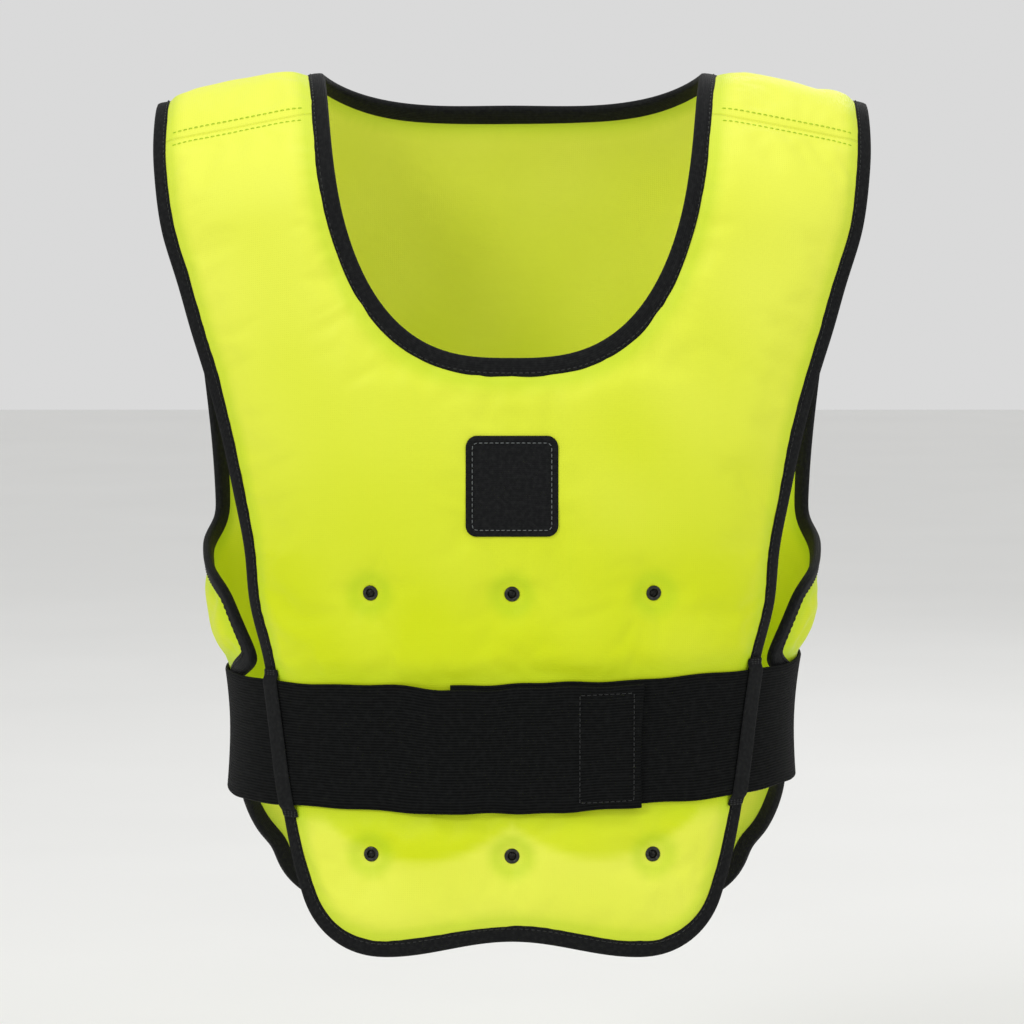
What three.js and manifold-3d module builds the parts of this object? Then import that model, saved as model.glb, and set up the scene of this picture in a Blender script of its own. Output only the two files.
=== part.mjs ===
// An evaporative cooling vest in its worn form: two padded panels joined over the shoulders and open at the
// sides, bound edges, eyelets through the padding, and an elastic waistband held by keepers.
// Millimetres. +Z is up, the front faces -Y and +X is the wearer's left. The origin is midway between the
// shoulders, level with the top of the shoulder straps.
import * as THREE from "three";
import { mergeVertices } from "three/addons/utils/BufferGeometryUtils.js";
import Module from "manifold-3d";

const wasm = await Module();
wasm.setup();

// Driving dimensions of the body form that the vest hangs on
const FORM_HALF_WIDTH = 240;
const FRONT_DEPTH = 117;
const BACK_DEPTH = 106;
const FORM_DROP = 500;
const DOME_DROP = 75;
const DOME_RUN = 115;
const SHOULDER_SLOPE = 0.2;
const SLOPE_MIDDLE = 156;
const SLOPE_SOFTNESS = 60;
const SLOPE_FADE_START = 60;
const SLOPE_FADE_LENGTH = 220;
const SECTION_POWER = 2.5;

// Driving dimensions of the two panels, measured flat: widths round the body from the centre line, and
// lengths down the body from the shoulder ridge
const SHOULDER_HALF = 211;
const SIDE_HALF = 143;
const WAIST_RUN = 411;
const HEM_HALF = 124.5;
const HEM_CORNER = 48.5;
const HEM_RUN = 533;
const HEM_RISE = 10;
const SEAM_RUN = 57;
const BACK_WAIST_HALF = 202;
const BACK_HEM_HALF = 150;
const BACK_HEM_CORNER = 50;
const BACK_HEM_RUN = 534;
const TAB_GAP = 19;
const TAB_TOP_RUN = 288;
const TAB_FOOT_RUN = 398;
const TAB_TIP_RUN = 347;
const TAB_TIP_HEIGHT = 34;
const HEM_CORNER_START = THREE.MathUtils.degToRad(14);

// Neck opening
const NECK_RIDGE_HALF = 112;
const NECK_HALF = 107;
const NECK_RUN = 197;
const NECK_TAPER = 0.12;
const NECK_POWER = 2.8;
const BACK_NECK_RUN = 70;
const BACK_NECK_POWER = 2.4;

// Padding and binding
const PAD_THICKNESS = 8;
const EDGE_THICKNESS = 2.2;
const PAD_ROLL = 10;
const BINDING_WIDTH = 8;
const BINDING_WALL = 1;
const FIT_GAP = 0.3;
const FACET_GAP = 0.7;
const EDGE_LIFT = BINDING_WALL + FIT_GAP + FACET_GAP / 2;
const THIN_MARGIN = 5.5;
const BAND = BINDING_WIDTH + 1;
const ROLLED = BAND + PAD_ROLL + THIN_MARGIN;

// Waistband and its keepers
const BELT_HEIGHT = 74;
const BELT_THICKNESS = 2;
const BELT_TILT = 0.026;
const BELT_SAG = 5;
const BELT_OVER_END = 72;
const BELT_UNDER_END = -34;
const BELT_RAMP = 70;
const BELT_CLEAR = 5;
const SQUEEZED_THICKNESS = 4.6;
const SQUEEZE_MARGIN = 18;
const SQUEEZE_ROLL = 14;
const KEEPER_WIDTH = 10.5;
const KEEPER_THICKNESS = 1.2;
const KEEPER_INSET = 5.6;
const KEEPER_TAIL = 7;
const KEEPER_SPLAY = 3;
const BACK_KEEPER_INSET = 62;

// Eyelets and chest patch
const EYELET_PITCH = 80.5;
const EYELET_UPPER_RUN = 322.5;
const EYELET_LOWER_RUN = 475;
const EYELET_FLANGE = 4.3;
const EYELET_BARREL = 3.1;
const EYELET_BORE = 2.2;
const EYELET_RIM = 0.9;
const EYELET_BACK_GAP = 0.7;
const DIMPLE_RADIUS = 15;
const DIMPLE_FLOOR = 5.4;
const PATCH_HALF_WIDTH = 26;
const PATCH_HALF_HEIGHT = 27;
const PATCH_RUN = 262;
const PATCH_THICKNESS = 1;
const PATCH_CORNER = 6;

// Levels of the form from the shoulder line down: drop is a share of FORM_DROP, width of FORM_HALF_WIDTH,
// front of FRONT_DEPTH and back of BACK_DEPTH.
const FORM_LEVELS = [
  { drop: 0.0, width: 1.0, front: 0.7, back: 0.775 },
  { drop: 0.15, width: 0.992, front: 0.83, back: 0.887 },
  { drop: 0.3, width: 0.9, front: 0.94, back: 0.981 },
  { drop: 0.43, width: 0.808, front: 1.0, back: 1.0 },
  { drop: 0.6, width: 0.708, front: 0.974, back: 0.896 },
  { drop: 0.67, width: 0.675, front: 0.94, back: 0.83 },
  { drop: 0.75, width: 0.6625, front: 0.915, back: 0.802 },
  { drop: 0.86, width: 0.679, front: 0.932, back: 0.83 },
  { drop: 1.0, width: 0.721, front: 0.966, back: 0.896 },
  { drop: 1.12, width: 0.742, front: 0.974, back: 0.925 },
];

// Outer edge of the front panel: down is a share of the run from the ridge to the waistband's middle, out
// the share of the way from SIDE_HALF to SHOULDER_HALF.
const FRONT_EDGE = [
  { down: 0.0, out: 1.0 },
  { down: 0.13, out: 0.995 },
  { down: 0.18, out: 0.975 },
  { down: 0.265, out: 0.9 },
  { down: 0.35, out: 0.755 },
  { down: 0.42, out: 0.65 },
  { down: 0.5, out: 0.51 },
  { down: 0.57, out: 0.41 },
  { down: 0.66, out: 0.31 },
  { down: 0.73, out: 0.24 },
  { down: 0.81, out: 0.225 },
  { down: 0.89, out: 0.1 },
  { down: 1.0, out: 0.0 },
];

// Outer edge below the waistband's middle, on both panels: down is a share of the run from there to the
// start of the hem corner, out the share of the way back from the corner's width to the waist's.
const LOWER_EDGE = [
  { down: 0.25, out: 0.85 },
  { down: 0.48, out: 0.65 },
  { down: 0.66, out: 0.46 },
  { down: 0.85, out: 0.24 },
  { down: 1.0, out: 0.0 },
];

// Outer edge of the back panel, as if it had no side tab: down is a share of the run from the ridge to the
// waistband's middle, out the share of the way from BACK_WAIST_HALF to SHOULDER_HALF.
const BACK_EDGE = [
  { down: 0.0, out: 1.0 },
  { down: 0.14, out: 0.9 },
  { down: 0.27, out: 0.06 },
  { down: 0.4, out: -0.87 },
  { down: 0.52, out: -1.33 },
  { down: 0.63, out: -1.45 },
  { down: 0.71, out: -1.22 },
  { down: 0.8, out: -0.6 },
  { down: 0.9, out: -0.1 },
  { down: 1.0, out: 0.0 },
];

// Stations along the side tab from its root to its tip, as shares of the way down its slanted edges
const TAB_COLUMNS = [{ out: 0 }, { out: 0.27 }, { out: 0.5 }, { out: 0.72 }, { out: 0.9 }, { out: 1 }];

// Facets
const NECK_BEND = 0.53;
const BACK_NECK_BEND = 0.58;
const CUT_RUN = 203;
const BACK_CUT_RUN = 112;
const TAB_INSET = 14;
const TAB_TIP_INSET = 10;
const NECK_COLUMNS = 4;
const STRAP_COLUMNS = 2;
const STRAP_ROWS = 8;
const BACK_STRAP_ROWS = 9;
const BIB_ROWS = 12;
const BACK_UPPER_ROWS = 6;
const BACK_LOWER_ROWS = 4;
const TAB_ROWS = 5;
const BELT_STEPS = 70;
const EYELET_SIDES = 8;
const DIMPLE_SIDES = 10;
const PATCH_CELLS = 4;
const NECK_SAMPLES = 24;
const HEM_SAMPLES = 10;
const CORNER_SAMPLES = 8;
const TURN_STEPS = 72;
const NORMAL_STEP = 0.5;
const SLIVER = 0.1;
const SAME_POINT = 0.001;

const shellMaterial = new THREE.MeshStandardMaterial({ color: 0xe0ee10, roughness: 0.45, metalness: 0 });
const bindingMaterial = new THREE.MeshStandardMaterial({ color: 0x1c1c20, roughness: 0.8, metalness: 0 });
const elasticMaterial = new THREE.MeshStandardMaterial({ color: 0x141413, roughness: 0.9, metalness: 0 });
const eyeletMaterial = new THREE.MeshStandardMaterial({ color: 0x1e1d1a, roughness: 0.4, metalness: 0.3 });
const patchMaterial = new THREE.MeshStandardMaterial({ color: 0x18191a, roughness: 0.6, metalness: 0 });

const lerp = THREE.MathUtils.lerp;
const smooth = (value) => THREE.MathUtils.smoothstep(value, 0, 1);

// Smooth reading of one column of a table at a value of its key column
function readTable(rows, key, column, value) {
  const last = rows.length - 1;
  const at = THREE.MathUtils.clamp(value, rows[0][key], rows[last][key]);
  let i = 0;
  while (i < last - 1 && at > rows[i + 1][key]) i += 1;
  const slope = (k) => {
    const a = rows[Math.max(k - 1, 0)];
    const b = rows[Math.min(k + 1, last)];
    return (b[column] - a[column]) / (b[key] - a[key]);
  };
  const span = rows[i + 1][key] - rows[i][key];
  const t = (at - rows[i][key]) / span;
  const startWeight = 2 * t ** 3 - 3 * t ** 2 + 1;
  const startPull = (t ** 3 - 2 * t ** 2 + t) * span;
  const endPull = (t ** 3 - t ** 2) * span;
  return (
    startWeight * rows[i][column] +
    (1 - startWeight) * rows[i + 1][column] +
    startPull * slope(i) +
    endPull * slope(i + 1)
  );
}

// Drop below the shoulder line, and share of the full depth reached, after a run over the shoulder's top
function levelAt(run) {
  const length = Math.abs(run);
  if (length >= DOME_RUN) return { drop: DOME_DROP + length - DOME_RUN, reach: 1 };
  const angle = (length / DOME_RUN) * (Math.PI / 2);
  return { drop: DOME_DROP * (1 - Math.cos(angle)), reach: Math.sin(angle) };
}

// Half width of the form and its depth on the near and far side at a run; the near side is the run's own
function sectionAt(run) {
  const { drop } = levelAt(run);
  const share = drop / FORM_DROP;
  const width = FORM_HALF_WIDTH * readTable(FORM_LEVELS, "drop", "width", share);
  const front = FRONT_DEPTH * readTable(FORM_LEVELS, "drop", "front", share);
  const back = BACK_DEPTH * readTable(FORM_LEVELS, "drop", "back", share);
  const parted = smooth(Math.abs(run) / DOME_RUN);
  const near = run >= 0 ? front : back;
  const far = run >= 0 ? back : front;
  const middle = (near + far) / 2;
  return { width, near: lerp(middle, near, parted), far: lerp(middle, far, parted) };
}

// Point of the section at a turn from its own centre line, as x and depth towards its own side
function sectionPoint(section, turn) {
  const depth = Math.cos(turn) >= 0 ? section.near : section.far;
  const across = Math.abs(Math.sin(turn) / section.width) ** SECTION_POWER;
  const along = Math.abs(Math.cos(turn) / depth) ** SECTION_POWER;
  const radius = (across + along) ** (-1 / SECTION_POWER);
  return { x: radius * Math.sin(turn), depth: radius * Math.cos(turn) };
}

// Lengths round the section from its centre line, one for each of TURN_STEPS turns up to half way round
const girths = new Map();
function girthTable(run) {
  const key = run.toFixed(3);
  if (!girths.has(key)) {
    const section = sectionAt(run);
    const lengths = [0];
    let previous = sectionPoint(section, 0);
    for (let i = 1; i <= TURN_STEPS; i += 1) {
      const point = sectionPoint(section, (i / TURN_STEPS) * Math.PI);
      lengths.push(lengths[i - 1] + Math.hypot(point.x - previous.x, point.depth - previous.depth));
      previous = point;
    }
    girths.set(key, lengths);
  }
  return girths.get(key);
}

const halfGirth = (run) => girthTable(run)[TURN_STEPS];

// Turn from the centre line that a length round the section reaches
function turnAt(wrap, run) {
  const lengths = girthTable(run);
  const length = Math.abs(wrap);
  let i = 1;
  while (i < TURN_STEPS && lengths[i] < length) i += 1;
  const share = (length - lengths[i - 1]) / (lengths[i] - lengths[i - 1]);
  return Math.sign(wrap) * ((i - 1 + share) / TURN_STEPS) * Math.PI;
}

// Point of the form at a turn and a run; a run above 0 is on the front, below 0 on the back
function formPoint(turn, run) {
  const { drop, reach } = levelAt(run);
  const { x, depth } = sectionPoint(sectionAt(run), turn);
  const fade = 1 - smooth((Math.abs(run) - SLOPE_FADE_START) / SLOPE_FADE_LENGTH);
  const fall = Math.hypot(x, SLOPE_SOFTNESS) - Math.hypot(SLOPE_MIDDLE, SLOPE_SOFTNESS);
  const side = run >= 0 ? -1 : 1;
  return new THREE.Vector3(x, side * depth * reach, -drop - SHOULDER_SLOPE * fall * fade);
}

// The form's outward direction
function formNormal(turn, run) {
  const turnStep = NORMAL_STEP / FORM_HALF_WIDTH;
  const across = formPoint(turn + turnStep, run).sub(formPoint(turn - turnStep, run));
  const along = formPoint(turn, run + NORMAL_STEP).sub(formPoint(turn, run - NORMAL_STEP));
  return along.cross(across).normalize();
}

function lifted(turn, run, lift) {
  return formPoint(turn, run).addScaledVector(formNormal(turn, run), lift);
}

// Lays a flat point on the form: wrap round the body, run down from the ridge, lift out from the body
const drape = (wrap, run, lift) => lifted(turnAt(wrap, run), run, lift);

// Half width of the front panel at a run, from the ridge to the start of the hem corner
function frontEdge(run) {
  const corner = hemCorner(HEM_HALF, HEM_CORNER, HEM_RUN);
  if (run <= WAIST_RUN) {
    return lerp(SIDE_HALF, SHOULDER_HALF, readTable(FRONT_EDGE, "down", "out", run / WAIST_RUN));
  }
  return lowerEdge(run, SIDE_HALF, corner);
}

// Half width of the back panel at a length down the back, without its side tab
function backEdge(length) {
  const corner = hemCorner(BACK_HEM_HALF, BACK_HEM_CORNER, BACK_HEM_RUN);
  if (length > WAIST_RUN) return lowerEdge(length, BACK_WAIST_HALF, corner);
  return lerp(BACK_WAIST_HALF, SHOULDER_HALF, readTable(BACK_EDGE, "down", "out", length / WAIST_RUN));
}

const edgeAt = (run) => (run >= 0 ? frontEdge(run) : backEdge(-run));

// Centre, radius and start of a rounded hem corner
function hemCorner(half, radius, run) {
  const wrap = half - radius;
  const middle = run - radius;
  return {
    wrap,
    run: middle,
    radius,
    startWrap: wrap + radius * Math.cos(HEM_CORNER_START),
    startRun: middle + radius * Math.sin(HEM_CORNER_START),
  };
}

function lowerEdge(run, waistHalf, corner) {
  if (run > corner.startRun) {
    const down = Math.min((run - corner.run) / corner.radius, 1);
    return corner.wrap + corner.radius * Math.sqrt(1 - down ** 2);
  }
  const rows = [{ down: 0, out: 1 }, ...LOWER_EDGE];
  const share = (run - WAIST_RUN) / (corner.startRun - WAIST_RUN);
  return lerp(corner.startWrap, waistHalf, readTable(rows, "down", "out", share));
}

// Curves of one panel's right half in flat wrap and run
function panelCurves(front) {
  const side = front ? 1 : -1;
  const corner = front
    ? hemCorner(HEM_HALF, HEM_CORNER, HEM_RUN)
    : hemCorner(BACK_HEM_HALF, BACK_HEM_CORNER, BACK_HEM_RUN);
  const seam = SEAM_RUN + (side * FIT_GAP) / 2;
  const neck = [];
  if (!front) neck.push([lerp(NECK_RIDGE_HALF, NECK_HALF, seam / SEAM_RUN), seam]);
  for (let i = 0; i <= NECK_SAMPLES; i += 1) {
    const turn = (i / NECK_SAMPLES) * (Math.PI / 2);
    const power = 2 / (front ? NECK_POWER : BACK_NECK_POWER);
    const down = Math.sin(turn) ** power;
    const across = Math.max(Math.cos(turn), 0) ** power;
    if (front) neck.push([NECK_HALF * (1 - NECK_TAPER * down) * across, lerp(seam, NECK_RUN, down)]);
    else neck.push([NECK_RIDGE_HALF * across, -BACK_NECK_RUN * down]);
  }
  const hem = [];
  const low = corner.run + corner.radius;
  for (let i = 0; i < HEM_SAMPLES; i += 1) {
    const wrap = (i / HEM_SAMPLES) * corner.wrap;
    const lift = (HEM_RISE * (1 + Math.cos((wrap / corner.wrap) * Math.PI))) / 2;
    hem.push([wrap, side * (low - lift)]);
  }
  for (let i = 0; i <= CORNER_SAMPLES; i += 1) {
    const angle = lerp(Math.PI / 2, Math.PI / 4, i / CORNER_SAMPLES);
    const wrap = corner.wrap + corner.radius * Math.cos(angle);
    hem.push([wrap, side * (corner.run + corner.radius * Math.sin(angle))]);
  }
  const toCurve = (points) => new THREE.SplineCurve(points.map(([x, y]) => new THREE.Vector2(x, y)));
  return { seam, neck: toCurve(neck), hem: toCurve(hem), corner, side };
}

// Blended patch between four curves; each side's own spacing is kept
function blendedPatch(sides, topShares, bottomShares, rowShares) {
  const { top, bottom, left, right } = sides;
  const corners = [top(0), top(1), bottom(0), bottom(1)];
  return rowShares.map((v) =>
    topShares.map((topShare, j) => {
      const u = lerp(topShare, bottomShares[j], v);
      const point = new THREE.Vector2();
      point.addScaledVector(top(topShare), 1 - v).addScaledVector(bottom(bottomShares[j]), v);
      point.addScaledVector(left(v), 1 - u).addScaledVector(right(v), u);
      point.addScaledVector(corners[0], -(1 - u) * (1 - v)).addScaledVector(corners[1], -u * (1 - v));
      point.addScaledVector(corners[2], -(1 - u) * v).addScaledVector(corners[3], -u * v);
      return point;
    }),
  );
}

// Distances along a length with bands at its bound ends and even cells between
function bandedDistances(length, cells, startBand, endBand) {
  const start = startBand ? [0, startBand, ROLLED] : [0];
  const end = endBand ? [length - ROLLED, length - endBand, length] : [length];
  const between = [];
  for (let i = 1; i < cells; i += 1) between.push(lerp(start.at(-1), end[0], i / cells));
  return [...start, ...between, ...end];
}

const bandedShares = (length, cells, startBand, endBand) =>
  bandedDistances(length, cells, startBand, endBand).map((distance) => distance / length);

// Flat point a distance inside an edge, at one of the edge's points; the centre line stays where it is
function insetPoint(edge, i, within, distance) {
  const before = edge[Math.max(i - 1, 0)];
  const after = edge[Math.min(i + 1, edge.length - 1)];
  const across = after.clone().sub(before).normalize().rotateAround(new THREE.Vector2(), Math.PI / 2);
  if (Math.abs(edge[i].x) < SLIVER) across.set(0, Math.sign(across.y));
  if (across.dot(within.clone().sub(edge[i])) < 0) across.negate();
  return edge[i].clone().addScaledVector(across, distance);
}

// Row positions down the bib, as shares from the neck to the hem; the back's rows fall in with its side tab
function bibShares(front, length, cutRun, footRun) {
  if (front) return bandedShares(length, BIB_ROWS, BAND, BAND);
  const shareOf = (down) => (down + cutRun) / (cutRun - footRun);
  const cells = (from, to, count) => Array.from({ length: count }, (_, i) => lerp(from, to, i / count));
  const firstInset = TAB_TOP_RUN + TAB_INSET;
  const lastInset = TAB_FOOT_RUN - TAB_INSET;
  return [
    0,
    BAND / length,
    ...cells(ROLLED / length, shareOf(TAB_TOP_RUN), BACK_UPPER_ROWS),
    shareOf(TAB_TOP_RUN),
    ...cells(shareOf(firstInset), shareOf(lastInset), TAB_ROWS - 2),
    shareOf(lastInset),
    ...cells(shareOf(TAB_FOOT_RUN), 1 - ROLLED / length, BACK_LOWER_ROWS),
    1 - ROLLED / length,
    1 - BAND / length,
    1,
  ];
}

// Flat grid of one panel's right half, as two lists of rows
function panelGrid(front) {
  const { seam, neck, hem, side } = panelCurves(front);
  const neckBend = front ? NECK_BEND : BACK_NECK_BEND;
  const cutRun = side * (front ? CUT_RUN : BACK_CUT_RUN);
  const bend = neck.getPointAt(neckBend);
  const seamIn = neck.getPointAt(0);
  const seamOut = new THREE.Vector2(edgeAt(seam), seam);
  const cutOut = new THREE.Vector2(edgeAt(cutRun), cutRun);
  const cornerPoint = hem.getPointAt(1);
  const line = (a, b) => (t) => a.clone().lerp(b, t);
  const edge = (from, to) => (t) => {
    const run = lerp(from, to, t);
    return new THREE.Vector2(edgeAt(run), run);
  };
  const strapShares = bandedShares(seamIn.distanceTo(seamOut), STRAP_COLUMNS, BAND, BAND);
  const strapRows = front ? STRAP_ROWS : BACK_STRAP_ROWS;
  const even = (count) => Array.from({ length: count + 1 }, (_, i) => i / count);
  const strap = blendedPatch(
    {
      top: line(seamIn, seamOut),
      bottom: line(bend, cutOut),
      left: (t) => neck.getPointAt(t * neckBend),
      right: edge(seam, cutRun),
    },
    strapShares,
    strapShares,
    even(strapRows),
  );
  const floorLength = neck.getLength() * (1 - neckBend);
  const cutLength = bend.distanceTo(cutOut);
  const floorShare = floorLength / (floorLength + cutLength);
  const top = (t) =>
    t < floorShare
      ? neck.getPointAt(1 - (t / floorShare) * (1 - neckBend))
      : bend.clone().lerp(cutOut, (t - floorShare) / (1 - floorShare));
  const topShares = [
    ...even(NECK_COLUMNS).slice(0, -1).map((t) => t * floorShare),
    ...strapShares.map((t) => lerp(floorShare, 1, t)),
  ];
  const inner = NECK_COLUMNS + STRAP_COLUMNS + 2;
  const bottomShares = bandedShares(hem.getLength(), inner, 0, BAND);
  const centreTop = neck.getPointAt(1);
  const centreFoot = hem.getPointAt(0);
  const length = centreTop.distanceTo(centreFoot);
  const bib = blendedPatch(
    {
      top,
      bottom: (t) => hem.getPointAt(t),
      left: line(centreTop, centreFoot),
      right: edge(cutRun, cornerPoint.y),
    },
    topShares,
    bottomShares,
    bibShares(front, length, cutRun, cornerPoint.y),
  );
  insetStrap(strap);
  strap.at(-1).forEach((point, j) => bib[0][NECK_COLUMNS + j].copy(point));
  insetBib(bib);
  return { strap, bib, tab: front ? [] : tabGrid(bib) };
}

// Sets the strap's points beside its two bound edges; the row along the seam is left as it is
function insetStrap(strap) {
  const last = strap[0].length - 1;
  const neck = strap.map((row) => row[0]);
  const arm = strap.map((row) => row[last]);
  strap.slice(1).forEach((row, k) => {
    const neckTowards = row[1].clone();
    const armTowards = row[last - 1].clone();
    row[1].copy(insetPoint(neck, k + 1, neckTowards, BAND));
    row[2].copy(insetPoint(neck, k + 1, neckTowards, ROLLED));
    row[last - 1].copy(insetPoint(arm, k + 1, armTowards, BAND));
    row[last - 2].copy(insetPoint(arm, k + 1, armTowards, ROLLED));
  });
}

// Sets the bib's points beside the neck's floor, the side edge and the hem
function insetBib(bib) {
  const foot = bib.length - 1;
  const side = bib[0].length - 1;
  const floor = bib[0].slice(0, NECK_COLUMNS + 1);
  for (let j = 0; j < NECK_COLUMNS; j += 1) {
    const within = bib[1][j].clone();
    bib[1][j].copy(insetPoint(floor, j, within, BAND));
    bib[2][j].copy(insetPoint(floor, j, within, ROLLED));
  }
  const outline = [...bib.map((row) => row[side]), ...bib[foot].slice(0, side).reverse()];
  const middle = bib[foot - 3][0].clone();
  for (let i = 1; i < foot - 1; i += 1) {
    const within = bib[i][side - 1].clone();
    bib[i][side - 1].copy(insetPoint(outline, i, within, BAND));
    bib[i][side - 2].copy(insetPoint(outline, i, within, ROLLED));
  }
  for (let j = 0; j < side - 1; j += 1) {
    const at = foot + side - j;
    bib[foot - 1][j].copy(insetPoint(outline, at, middle, BAND));
    bib[foot - 2][j].copy(insetPoint(outline, at, middle, ROLLED));
  }
  bib[foot - 1][side - 1].copy(insetPoint(outline, foot, middle, BAND));
  bib[foot - 2][side - 2].copy(insetPoint(outline, foot, middle, ROLLED));
}

// Flat grid of the side tab, from its root on the bib's side edge out to its tip
function tabGrid(bib) {
  const side = bib[0].length - 1;
  const root = tabRows(bib).map((row) => row[side]);
  const tipTop = -TAB_TIP_RUN + TAB_TIP_HEIGHT / 2;
  const tip = halfGirth(-TAB_TIP_RUN) - frontEdge(TAB_TIP_RUN) - TAB_GAP;
  const slope = (from, tipRun) =>
    TAB_COLUMNS.map(
      ({ out }) => new THREE.Vector2(lerp(from.x, tip, smooth(out)), lerp(from.y, tipRun, out)),
    );
  const top = slope(root[0], tipTop);
  const bottom = slope(root.at(-1), tipTop - TAB_TIP_HEIGHT);
  const last = TAB_COLUMNS.length - 1;
  const within = new THREE.Vector2(root[0].x, -TAB_TIP_RUN);
  return root.map((rootPoint, i) => {
    if (i === 0) return top;
    if (i === TAB_ROWS) return bottom;
    const share = (i - 1) / (TAB_ROWS - 2);
    return TAB_COLUMNS.map((column, j) => {
      if (j === 0) return rootPoint;
      if (j === last) return new THREE.Vector2(tip, tipTop - (TAB_TIP_HEIGHT * i) / TAB_ROWS);
      const reach = j === last - 1 ? TAB_TIP_INSET : BAND;
      const high = insetPoint(top, j, within, reach);
      return high.lerp(insetPoint(bottom, j, within, reach), share);
    });
  });
}

// Rows of the back bib that its side tab grows from
function tabRows(bib) {
  const first = BACK_UPPER_ROWS + 2;
  return bib.slice(first, first + TAB_ROWS + 1);
}

// Bound edges of a panel's right half, each a list of edge points with the panel point inside each one
function panelOutlines({ strap, bib, tab }) {
  const pair = (point, inside) => ({ point, inside });
  const foot = bib.length - 1;
  const side = bib[0].length - 1;
  const hem = bib[foot].slice(0, side).map((point, j) => pair(point, bib[foot - 1][j]));
  const corner = pair(bib[foot][side], bib[foot - 1][side - 1]);
  let flank = bib.slice(1, -1).map((row) => pair(row[side], row[side - 1]));
  if (tab.length > 0) {
    const rows = tabRows(bib);
    const first = bib.indexOf(rows[0]) - 1;
    const tip = tab[0].length - 1;
    const tabFoot = tab.length - 1;
    const across = (edge, beside) =>
      tab[edge].slice(1, tip).map((point, j) => pair(point, tab[beside][j + 1]));
    flank = [
      ...flank.slice(0, first),
      pair(rows[0][side], rows[1][side - 1]),
      ...across(0, 1),
      pair(tab[0][tip], tab[1][tip - 1]),
      ...tab.slice(1, tabFoot).map((row) => pair(row[tip], row[tip - 1])),
      pair(tab[tabFoot][tip], tab[tabFoot - 1][tip - 1]),
      ...across(tabFoot, tabFoot - 1).reverse(),
      pair(rows[TAB_ROWS][side], rows[TAB_ROWS - 1][side - 1]),
      ...flank.slice(first + TAB_ROWS + 1),
    ];
  }
  const arm = strap.map((row) => pair(row.at(-1), row.at(-2))).reverse();
  const floor = bib[0].slice(0, NECK_COLUMNS).map((point, j) => pair(point, bib[1][j]));
  const bend = pair(bib[0][NECK_COLUMNS], bib[1][NECK_COLUMNS + 1]);
  const collar = strap.slice(0, -1).map((row) => pair(row[0], row[1])).reverse();
  return { outer: [...hem, corner, ...flank.reverse(), ...arm], neck: [...floor, bend, ...collar] };
}

// Middle run of the waistband at a turn from the front centre
function beltRun(turn) {
  const { x } = sectionPoint(sectionAt(WAIST_RUN), turn);
  return WAIST_RUN - BELT_TILT * x - (BELT_SAG * (1 - Math.cos(turn))) / 2;
}

// Distance down from the waistband's middle line at a flat point
function belowBelt(wrap, run) {
  const turn = turnAt(wrap, run);
  return Math.abs(run) - beltRun(run >= 0 ? turn : Math.PI - turn);
}

function distanceToPath(point, path) {
  let nearest = Infinity;
  const foot = new THREE.Vector2();
  for (let i = 1; i < path.length; i += 1) {
    const span = path[i].clone().sub(path[i - 1]);
    const along = point.clone().sub(path[i - 1]).dot(span) / Math.max(span.lengthSq(), SAME_POINT);
    foot.copy(path[i - 1]).addScaledVector(span, THREE.MathUtils.clamp(along, 0, 1));
    nearest = Math.min(nearest, foot.distanceTo(point));
  }
  return nearest;
}

// A closed body from corner points and triangles, with its faces turned out
function bodyOf(points, triangles) {
  const vertex = new THREE.Vector3();
  const volume = triangles.reduce(
    (sum, [a, b, c]) => sum + vertex.copy(points[a]).cross(points[b]).dot(points[c]),
    0,
  );
  const order = volume < 0 ? triangles.map(([a, b, c]) => [a, c, b]) : triangles;
  const geometry = new THREE.BufferGeometry().setFromPoints(points);
  geometry.setIndex(order.flat());
  return geometry;
}

// Quilted sheet over flat cells, closed by a rim wherever a cell has no neighbour
function sheetBody(cells, outerLift, innerLift) {
  const keys = new Map();
  const flat = [];
  const indexOf = (point) => {
    const key = [point.x, point.y].map((value) => Math.round(value / SAME_POINT)).join();
    if (!keys.has(key)) {
      keys.set(key, flat.length);
      flat.push(point);
    }
    return keys.get(key);
  };
  const quads = cells.map((cell) => cell.map(indexOf));
  const count = flat.length;
  const points = [
    ...flat.map((point) => drape(point.x, point.y, outerLift(point))),
    ...flat.map((point) => drape(point.x, point.y, innerLift(point))),
  ];
  const triangles = [];
  const edges = new Map();
  quads.forEach((quad) => {
    const [a, b, c, d] = quad;
    triangles.push([a, b, c], [a, c, d]);
    triangles.push([a + count, c + count, b + count], [a + count, d + count, c + count]);
    quad.forEach((from, k) => {
      const to = quad[(k + 1) % 4];
      if (edges.has(`${to},${from}`)) edges.delete(`${to},${from}`);
      else edges.set(`${from},${to}`, [from, to]);
    });
  });
  edges.forEach(([from, to]) => {
    triangles.push([from, from + count, to + count], [from, to + count, to]);
  });
  return bodyOf(points, triangles);
}

// Cells of a grid's right half and of its mirror image, all wound the same way
function mirroredCells(grids) {
  const cells = [];
  const mirror = (point) => new THREE.Vector2(-point.x, point.y);
  grids.forEach((rows) => {
    for (let i = 1; i < rows.length; i += 1) {
      for (let j = 1; j < rows[i].length; j += 1) {
        const cell = [rows[i - 1][j - 1], rows[i - 1][j], rows[i][j], rows[i][j - 1]];
        const [a, b, c, d] = cell.map(mirror);
        cells.push(cell, [a, d, c, b]);
      }
    }
  });
  return cells;
}

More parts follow.
